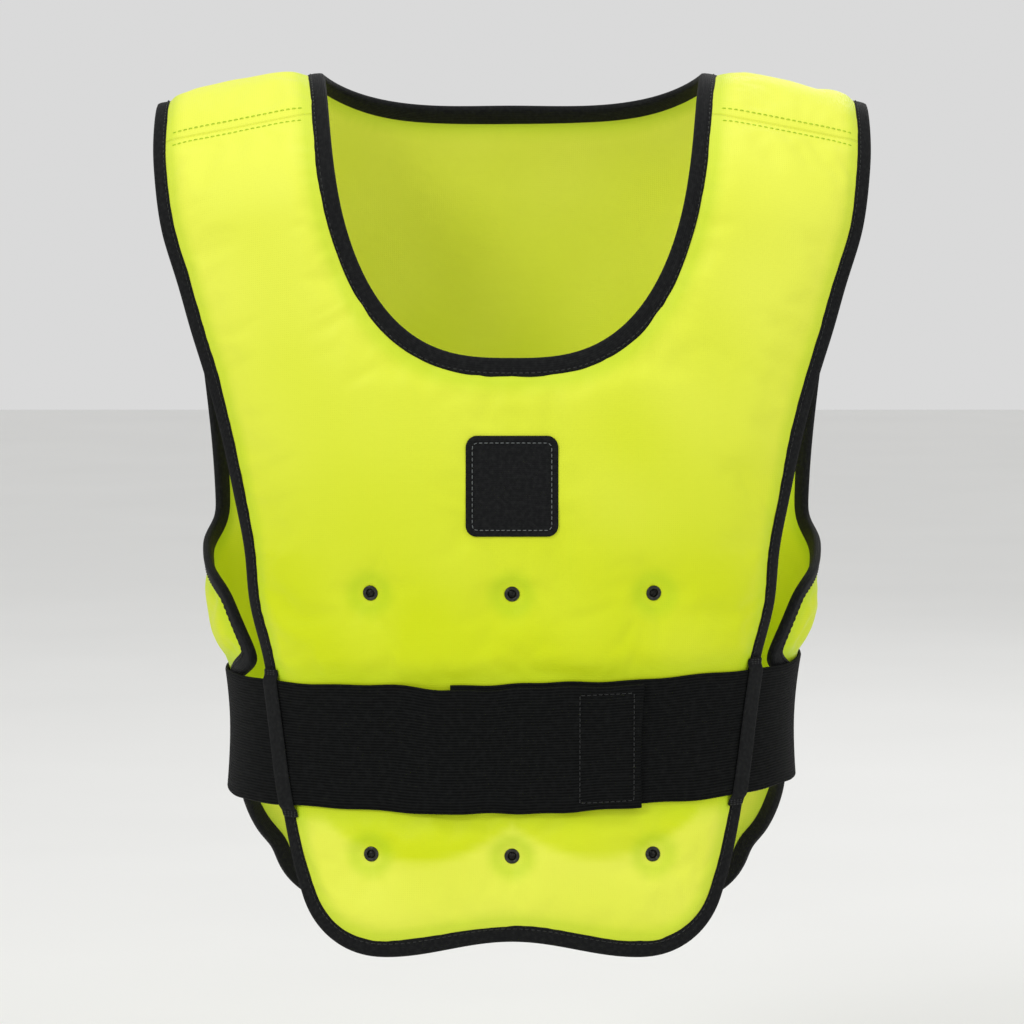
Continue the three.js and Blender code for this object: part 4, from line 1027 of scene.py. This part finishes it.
def make_tape(name, half, within, node, sizes, colours):
    """Folded tape hugging an edge, slightly uneven as sewn by hand."""
    line, inward = tape_path(half, within)
    width = sizes.binding * 1000
    # share of the width, lift: round the outside of the fold and back along its inside
    section = np.array([
        (1.0, 0.55), (0.9, 0.12), (0.5, -0.02), (0.15, 0.05), (-0.08, 0.5), (-0.165, 1.5), (-0.18, 2.75),
        (-0.165, 4.0), (-0.08, 4.95), (0.12, 5.4), (0.5, 5.5), (0.88, 5.42), (0.985, 5.2), (1.0, 4.85),
        (0.95, 4.55), (0.5, 4.5), (0.06, 4.4), (-0.03, 3.9), (-0.045, 2.75), (-0.03, 1.6), (0.06, 1.15),
        (0.5, 1.05), (0.95, 1.0),
    ])
    walked = lengths_along(line)
    sway = 0.35 * np.sin(walked / 31) + 0.25 * np.sin(walked / 12.7 + 1)
    ripple = 0.12 * np.sin(walked / 5.1) + 0.1 * np.sin(walked / 17)
    inwards = section[:, 0][None] * width + np.where(section[:, 0] > 0.8, 1, 0)[None] * sway[:, None]
    top = np.where((section[:, 1] > 4) & (section[:, 0] > 0.3), 1, 0)
    lift = section[:, 1][None] + top[None] * ripple[:, None]
    flat = line[:, None] + inward[:, None] * inwards[..., None]
    verts = drape(flat, lift).reshape(-1, 3)
    uv = paired(walked, lengths_along(section * [width, 1])).reshape(-1, 2) * MM
    material = made(woven_tape, "binding_tape", colours, 0.0011, 0.5)
    piece = new_object(name, verts, ring_faces(len(line), len(section), True), material, uv)
    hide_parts(node)


def belt_section(height):
    """The waistband cut across, with rounded edges: run from its middle, lift."""
    half = height / 2
    across = np.linspace(-half + BELT_EDGE, half - BELT_EDGE, BELT_ROWS)
    return np.concatenate([
        [(-half, BELT_THICKNESS / 2)],
        np.column_stack([across, np.zeros(BELT_ROWS)]),
        [(half, BELT_THICKNESS / 2)],
        np.column_stack([across[::-1], np.full(BELT_ROWS, BELT_THICKNESS)]),
    ])


def waist_lift(turn):
    """Lift of the waistband's inner face: it climbs over its own end at the front."""
    ramp_turn = BELT_RAMP / FORM_HALF_WIDTH
    ramp_end = 2 * np.pi + belt_turns()[0] - BELT_CLEAR / FORM_HALF_WIDTH
    return BELT_LOW + BELT_STEP * smooth((turn - ramp_end + ramp_turn) / ramp_turn)


def waist_shift(turn):
    """How much lower the over end lies than the rest of the waistband."""
    return OVER_END_SHIFT * (waist_lift(turn) - BELT_LOW) / BELT_STEP


def belt_turns():
    """Turns of the waistband's under end and over end."""
    return turn_at(BELT_UNDER_END, WAIST_RUN)[0], 2 * np.pi + turn_at(BELT_OVER_END, WAIST_RUN)[0]


def make_waistband(sizes, colours):
    turn = np.linspace(*belt_turns(), BELT_STEPS)
    height = sizes.waistband * 1000
    section = belt_section(height)
    sway = 0.5 * np.sin(turn * 9) + 0.3 * np.sin(turn * 23 + 1)
    run = belt_run(turn)[:, None] + section[:, 0]
    run = run + sway[:, None] * (section[:, 0] / (height / 2)) + waist_shift(turn)[:, None]
    lift = waist_lift(turn)[:, None] + section[:, 1]
    verts = lifted(turn[:, None], run, lift).reshape(-1, 3)
    uv = paired(turn * BELT_REACH, section[:, 0]).reshape(-1, 2) * MM
    material = made(elastic_web, "ribbed_elastic", colours)
    faces = ring_faces(len(turn), len(section), False)
    piece = new_object("waist_elastic", verts, faces, material, uv)
    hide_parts("waistband")


def keeper_wrap(side, run):
    """How far from the centre line a keeper's middle lies at a run."""
    return float(side_edge(run)) - KEEPER_INSET if side > 0 else BACK_WAIST_HALF - BACK_KEEPER_INSET


def keeper_line(side, hand, seat):
    """Stations of a keeper over the waistband: runs, wraps and lifts of its inner face."""
    high = BELT_LOW + BELT_THICKNESS + KEEPER_CLEAR
    # distance past the waistband's edge, lift
    foot = np.array([(KEEPER_TAIL, seat), (5.2, seat), (3.0, seat + 0.25), (1.6, (seat + high) / 2),
                     (0.5, high - 0.3), (-1.5, high)])
    past = foot[:, 0] + BELT_HALF
    turn = turn_at(hand * keeper_wrap(side, WAIST_RUN), WAIST_RUN)[0]
    middle = float(belt_run(turn if side > 0 else np.pi - turn))
    runs = middle + np.concatenate([-past, [-20, 0, 20], past[::-1]])
    lift = np.concatenate([foot[:, 1], np.full(3, high), foot[::-1, 1]])
    return runs, np.array([keeper_wrap(side, run) for run in runs]), lift


def make_keepers(colours):
    material = made(woven_tape, "keeper_tape", colours, 0.0009, 0.45)
    thread = made(plain_thread, "black_thread", tuple(colours.thread))
    half, thick = KEEPER_WIDTH / 2, KEEPER_THICKNESS
    # across the tape, lift
    section = np.array([
        (-half, 0.5 * thick), (-half + 0.35, 0.08), (-half / 2, 0), (0, 0), (half / 2, 0),
        (half - 0.35, 0.08), (half, 0.5 * thick), (half - 0.35, thick - 0.06), (half / 2, thick), (0, thick),
        (-half / 2, thick), (-half + 0.35, thick - 0.06),
    ])
    for side, label, seat in ((1, "front", KEEPER_SEAT), (-1, "back", BACK_KEEPER_SEAT)):
        for hand, which in ((1, "left"), (-1, "right")):
            runs, wraps, lift = keeper_line(side, hand, seat)
            flat = np.stack(np.broadcast_arrays(
                hand * (wraps[:, None] + section[:, 0]), side * runs[:, None]), axis=-1)
            verts = drape(flat, lift[:, None] + section[:, 1]).reshape(-1, 3)
            uv = paired(runs, section[:, 0]).reshape(-1, 2) * MM
            faces = ring_faces(len(runs), len(section), False)
            piece = new_object(f"keeper_tape_{label}_{which}", verts, faces, material, uv)
            rounded(piece)
            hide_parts(f"keeper_{label}_{which}")
            rows = []
            for end, outward in ((0, 1), (-1, -1)):
                for row in range(4):
                    run = runs[end] + outward * (1.2 + row * 1.15)
                    line = np.column_stack([hand * (wraps[end] + np.linspace(-half + 1, half - 1, 12)),
                                            np.full(12, side * run)])
                    rows.append(stitches_on(line, seat + thick + 0.1, 1.7, 0.35))
            threads(f"keeper_bartacks_{label}_{which}", rows, 0.00032, thread)


def make_eyelets(colours):
    """One rolled eyelet is modelled at the origin and copied to each place, facing out of the cloth."""
    deselect()
    rim, roll, top, foot = (each * MM for each in (EYELET_RIM, EYELET_ROLL, EYELET_SEAT + 0.3, EYELET_FOOT))
    bpy.ops.mesh.primitive_torus_add(location=(0, 0, 0), major_radius=rim, minor_radius=roll,
                                     major_segments=40, minor_segments=14)
    model = bpy.context.object
    bpy.ops.object.mode_set(mode="EDIT")
    bpy.ops.mesh.select_all(action="SELECT")
    bpy.ops.transform.resize(value=(1, 1, 0.62), center_override=(0, 0, 0))
    bpy.ops.transform.translate(value=(0, 0, top))
    bpy.ops.mesh.select_all(action="DESELECT")
    bpy.ops.mesh.primitive_torus_add(location=(0, 0, 0), major_radius=rim, minor_radius=roll,
                                     major_segments=40, minor_segments=12)
    bpy.ops.transform.resize(value=(1, 1, 0.5), center_override=(0, 0, 0))
    bpy.ops.transform.translate(value=(0, 0, foot))
    for radius in (rim - roll * 0.4, rim - roll * 0.8):
        bpy.ops.mesh.select_all(action="DESELECT")
        bpy.ops.mesh.primitive_cylinder_add(vertices=40, radius=radius, depth=top - foot,
                                            end_fill_type="NOTHING", location=(0, 0, (top + foot) / 2))
    for height in (top, foot):
        bpy.ops.mesh.select_all(action="DESELECT")
        shell = bmesh.from_edit_mesh(model.data)
        for edge in shell.edges:
            if edge.is_boundary and all(abs(vert.co.z - height) < 1e-5 for vert in edge.verts):
                edge.select_set(True)
        bmesh.update_edit_mesh(model.data)
        bpy.ops.mesh.bridge_edge_loops()
    bpy.ops.mesh.select_all(action="SELECT")
    bpy.ops.mesh.normals_make_consistent(inside=False)
    bpy.ops.object.mode_set(mode="OBJECT")
    model.data.materials.append(made(lacquered_metal, "black_lacquer", colours))
    pattern = model.data.copy()
    bpy.data.objects.remove(model)
    for number, (run, wrap, side) in enumerate(eyelet_places()):
        label = "front" if side > 0 else "back"
        mesh = pattern.copy()
        piece = bpy.data.objects.new(f"rolled_eyelet_{label}_{number % 6 + 1}", mesh)
        bpy.context.scene.collection.objects.link(piece)
        turn = turn_at(wrap, run)[0]
        out = Vector(form_normal(np.array([turn]), np.array([run]))[0])
        place = Vector(lifted(np.array([turn]), np.array([run]), np.array([0.0]))[0])
        mesh.transform(Matrix.Translation(place) @ out.to_track_quat("Z", "Y").to_matrix().to_4x4())
        mesh.shade_smooth()
        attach(piece, "root")
        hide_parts(f"eyelet_{label}_{number % 6 + 1}")


def looped(line):
    """The line with its first point added at its end."""
    return np.concatenate([line, line[:1]])


def patch_outline(inset, count):
    """Flat outline of the patch drawn in by an inset, with count points on each round corner."""
    half_width, half_height = PATCH_HALF_WIDTH - inset, PATCH_HALF_HEIGHT - inset
    corner = max(PATCH_CORNER - inset, 0.5)
    points = []
    for x, y, start in ((1, 1, 0), (-1, 1, 1), (-1, -1, 2), (1, -1, 3)):
        for k in range(count):
            angle = (start + k / (count - 1)) * math.pi / 2
            points.append((x * (half_width - corner) + corner * math.cos(angle),
                           y * (half_height - corner) + corner * math.sin(angle)))
    return np.array(points) + np.array([0, PATCH_RUN])


def make_patch(colours):
    """Plain black patch with a raised sewn border, lying on the padding."""
    outlines, lifts = [], []
    # inset from the patch's edge, lift over its seat
    for inset, rise in ((0.0, 0), (-0.15, 0.5), (0.0, 1.0), (0.5, 1.25), (1.6, 1.3), (2.5, 1.22), (2.9, 0.95),
                        (3.4, 0.9), (7.0, 0.92), (13.0, 0.95), (19.0, 0.96), (24.0, 0.97)):
        outline = patch_outline(inset, 9)
        uneven = 0.1 * waves(outline, 23, 11) if inset > 5 else np.zeros(len(outline))
        outlines.append(outline)
        lifts.append(PATCH_SEAT + rise + uneven)
    flat = np.concatenate(outlines)
    material = made(woven_tape, "patch_cloth", colours, 0.0010, 0.5)
    verts, faces = drape(flat, np.concatenate(lifts)), ring_faces(len(outlines), len(outlines[0]), False)
    piece = new_object("chest_patch", verts, faces, material, flat * MM)
    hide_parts("label_patch")
    thread = made(plain_thread, "border_thread", tuple(colours.border))
    row = stitches_on(looped(patch_outline(3.6, 12)), PATCH_SEAT + 1.02, 2.1, 0.9)
    threads("patch_stitches", [row], FINE_THREAD_RADIUS, thread)


def make_stitching(sizes, colours):
    """Rows of thread along the bindings, the shoulder seams and the waistband's over end."""
    thread = made(plain_thread, "black_thread", tuple(colours.thread))
    pitch = sizes.stitch * 1000
    for name, half, within in (("edge_stitches", OUTER, OUTER_WITHIN), ("neck_stitches", NECK, NECK_WITHIN)):
        line, inward = tape_path(half, within)
        path = looped(line + inward * (sizes.binding * 1000 - STITCH_INSET))
        row = stitches_on(path, STITCH_LIFT, pitch * STITCH_SHARE, pitch * (1 - STITCH_SHARE))
        threads(name, [row], THREAD_RADIUS, thread)
    rows = []
    for hand in (1, -1):
        for offset in (SEAM_STITCH_OFFSET, -SEAM_STITCH_OFFSET):
            run = SEAM_RUN + offset
            wraps = np.linspace(SEAM_ROW_START, float(side_edge(run)) - SEAM_ROW_INSET, 60)
            flat = np.column_stack([hand * wraps, np.full(60, run)])
            lift = padding_lifts(flat, sizes)[0] + 0.1
            rows.append(stitches_on(flat, lift, pitch * SEAM_STITCH_SHARE, pitch * (1 - SEAM_STITCH_SHARE)))
    lime_thread = made(plain_thread, "lime_thread", tuple(colours.lime_shade_and_thread))
    threads("shoulder_stitches", rows, FINE_THREAD_RADIUS, lime_thread)
    # a stitched box on the waistband's over end
    reach = sizes.waistband * 500 - BOX_INSET
    box = np.array([
        (BOX_FROM, -reach), (BOX_FROM, reach), (BOX_TO, reach), (BOX_TO, -reach), (BOX_FROM, -reach),
    ])
    share = np.linspace(0, 1, 40)[:-1, None]
    path = np.concatenate([first + (second - first) * share for first, second in zip(box[:-1], box[1:])])
    wraps = BELT_OVER_END + path[:, 0]
    flat = np.column_stack([wraps, belt_run(turn_at(wraps, WAIST_RUN)) + path[:, 1] + OVER_END_SHIFT])
    top = float(waist_lift(belt_turns()[1])) + BELT_THICKNESS + 0.12
    row = stitches_on(flat, top, BOX_STITCH, BOX_GAP)
    threads("waistband_stitches", [row], THREAD_RADIUS, thread)


# Properties, operators and panel


class VestSizes(bpy.types.PropertyGroup):
    padding: FloatProperty(name="Padding", description="Thickness of the padded panels", default=0.008,
                           min=0.003, max=0.02, unit="LENGTH")
    binding: FloatProperty(name="Binding", description="Width of the binding's face", default=0.008,
                           min=0.004, max=0.02, unit="LENGTH")
    waistband: FloatProperty(name="Waistband", description="Height of the elastic waistband", default=0.074,
                             min=0.03, max=0.1, unit="LENGTH")
    slack: FloatProperty(name="Slack", description="Share by which the shell cloth is cut too large",
                         default=0.028, min=0, max=0.05)
    pressure: FloatProperty(name="Pressure", description="How hard the padding pushes the shell cloth out",
                            default=1.5, min=0, max=10)
    stitch: FloatProperty(name="Stitch", description="Distance from stitch to stitch", default=0.0034,
                          min=0.001, max=0.01, unit="LENGTH")


def screen_colour(name, description, red, green, blue):
    return FloatVectorProperty(name=name, description=description, default=linear(red, green, blue),
                               subtype="COLOR", min=0, max=1)


class VestColours(bpy.types.PropertyGroup):
    lime: screen_colour("Lime", "Deep lime of the shell cloth", 205, 220, 4)
    lime_pale: screen_colour("Pale lime", "Shell cloth where it is full and well lit", 232, 238, 84)
    # painted shade of the shell cloth; the same colour is the real colour of the lime shoulder thread
    lime_shade_and_thread: screen_colour("Lime shade and thread", "Shell cloth beside seams and eyelets", 176, 208, 22)
    # painted emission of the shell cloth, standing in for its fluorescence
    painted_glow: FloatProperty(name="Glow", description="Fluorescence of the shell cloth",
                        default=0.06, min=0, max=1)
    black: screen_colour("Binding black", "Binding, keepers and patch", 15, 16, 17)
    black_elastic: screen_colour("Elastic black", "Waistband", 8, 9, 9)
    black_worn: screen_colour("Worn black", "High spots of the black cloth", 30, 31, 31)
    thread: screen_colour("Thread", "Black sewing thread", 22, 23, 24)
    border: screen_colour("Border thread", "Thread round the patch", 92, 96, 96)
    eyelet: screen_colour("Eyelet", "Lacquer of the eyelets", 30, 30, 26)
    eyelet_rubbed: screen_colour("Rubbed eyelet", "Lacquer where it is rubbed", 78, 77, 70)


class VestStep:
    """One step of the build, run on the scene's own sizes and colours"""

    def execute(self, context):
        self.build(context.scene.vest_sizes, context.scene.vest_colours)
        return {"FINISHED"}


class VEST_OT_padding(VestStep, bpy.types.Operator):
    """Build the front and back padded panels"""
    bl_idname = "vest.padding"
    bl_label = "Padded panels"

    def build(self, sizes, colours):
        make_padding(True, sizes, colours)
        make_padding(False, sizes, colours)


class VEST_OT_binding(VestStep, bpy.types.Operator):
    """Fold the black tape over the outer edge and the neck"""
    bl_idname = "vest.binding"
    bl_label = "Bindings"

    def build(self, sizes, colours):
        make_tape("edge_tape", OUTER, OUTER_WITHIN, "edge_binding", sizes, colours)
        make_tape("neck_tape", NECK, NECK_WITHIN, "neck_binding", sizes, colours)


class VEST_OT_waistband(VestStep, bpy.types.Operator):
    """Wrap the elastic waistband and its keepers round the waist"""
    bl_idname = "vest.waistband"
    bl_label = "Waistband and keepers"

    def build(self, sizes, colours):
        make_waistband(sizes, colours)
        make_keepers(colours)


class VEST_OT_eyelets(VestStep, bpy.types.Operator):
    """Set the rolled eyelets through the padding"""
    bl_idname = "vest.eyelets"
    bl_label = "Eyelets"

    def build(self, sizes, colours):
        make_eyelets(colours)


class VEST_OT_patch(VestStep, bpy.types.Operator):
    """Sew the plain patch on the chest"""
    bl_idname = "vest.patch"
    bl_label = "Chest patch"

    def build(self, sizes, colours):
        make_patch(colours)


class VEST_OT_stitching(VestStep, bpy.types.Operator):
    """Sew the visible rows of thread"""
    bl_idname = "vest.stitching"
    bl_label = "Stitching"

    def build(self, sizes, colours):
        make_stitching(sizes, colours)


class VEST_OT_stage(bpy.types.Operator):
    """Set up the floor, the lights and the camera"""
    bl_idname = "vest.stage"
    bl_label = "Stage"

    def execute(self, context):
        make_stage(context.scene)
        return {"FINISHED"}


def make_stage(scene):
    deselect()
    bpy.ops.mesh.primitive_plane_add(size=14, location=(0, 0, -0.66))
    floor = bpy.context.object
    floor.name = "floor"
    material, nodes, links, shader = node_material("pale_floor", linear(238, 238, 236), 0.7, 0.2)
    grain = noise(nodes, links, object_place(nodes), 3.0, 2.0)
    tone = mixed(nodes, links, grain, linear(236, 236, 234), linear(242, 242, 240))
    links.new(tone, shader.inputs["Base Color"])
    floor.data.materials.append(material)
    world = scene.world or bpy.data.worlds.new("studio")
    scene.world = world
    world.use_nodes = True
    background = world.node_tree.nodes["Background"]
    background.inputs["Color"].default_value = (1, 1, 1, 1)
    background.inputs["Strength"].default_value = 0.7
    target = Vector((0, 0, -0.25))
    # place, width in metres, power in watts
    for name, place, size, power in (
        ("key", (-1.7, -2.2, 1.7), 0.9, 27),
        ("fill", (2.1, -1.8, 0.6), 1.6, 7),
        ("top", (0.2, -0.2, 2.2), 1.4, 12),
        ("rim", (0.9, 2.3, 1.2), 1.4, 9),
    ):
        data = bpy.data.lights.new(name, "AREA")
        data.shape = "DISK"
        data.size = size
        data.energy = power
        lamp = bpy.data.objects.new(name, data)
        scene.collection.objects.link(lamp)
        lamp.location = place
        lamp.rotation_euler = (target - Vector(place)).to_track_quat("-Z", "Y").to_euler()
    data = bpy.data.cameras.new("camera")
    data.lens = 182
    data.sensor_width = 36
    camera = bpy.data.objects.new("camera", data)
    scene.collection.objects.link(camera)
    camera.location = (0, -3.06, 0.022)
    aim = Vector((0, -0.06, -0.241)) - camera.location
    camera.rotation_euler = aim.to_track_quat("-Z", "Y").to_euler()
    scene.camera = camera
    scene.view_settings.view_transform = "Standard"
    scene.view_settings.look = "None"


class VEST_PT_panel(bpy.types.Panel):
    bl_label = "Vest"
    bl_idname = "VEST_PT_panel"
    bl_space_type = "VIEW_3D"
    bl_region_type = "UI"
    bl_category = "Vest"

    def draw(self, context):
        layout = self.layout
        for group in (context.scene.vest_sizes, context.scene.vest_colours):
            column = layout.column()
            for key in group.__annotations__:
                column.prop(group, key)
        for operator in OPERATORS:
            layout.operator(operator.bl_idname)


OPERATORS = (
    VEST_OT_padding,
    VEST_OT_binding,
    VEST_OT_waistband,
    VEST_OT_eyelets,
    VEST_OT_patch,
    VEST_OT_stitching,
    VEST_OT_stage,
)
CLASSES = (VestSizes, VestColours, *OPERATORS, VEST_PT_panel)


def register():
    for each in CLASSES:
        bpy.utils.register_class(each)
    bpy.types.Scene.vest_sizes = PointerProperty(type=VestSizes)
    bpy.types.Scene.vest_colours = PointerProperty(type=VestColours)


def unregister():
    del bpy.types.Scene.vest_sizes
    del bpy.types.Scene.vest_colours
    for each in reversed(CLASSES):
        bpy.utils.unregister_class(each)


def main():
    register()
    bpy.ops.vest.padding()
    bpy.ops.vest.binding()
    bpy.ops.vest.waistband()
    bpy.ops.vest.eyelets()
    bpy.ops.vest.patch()
    bpy.ops.vest.stitching()
    bpy.ops.vest.stage()


if __name__ == "__main__":
    main()
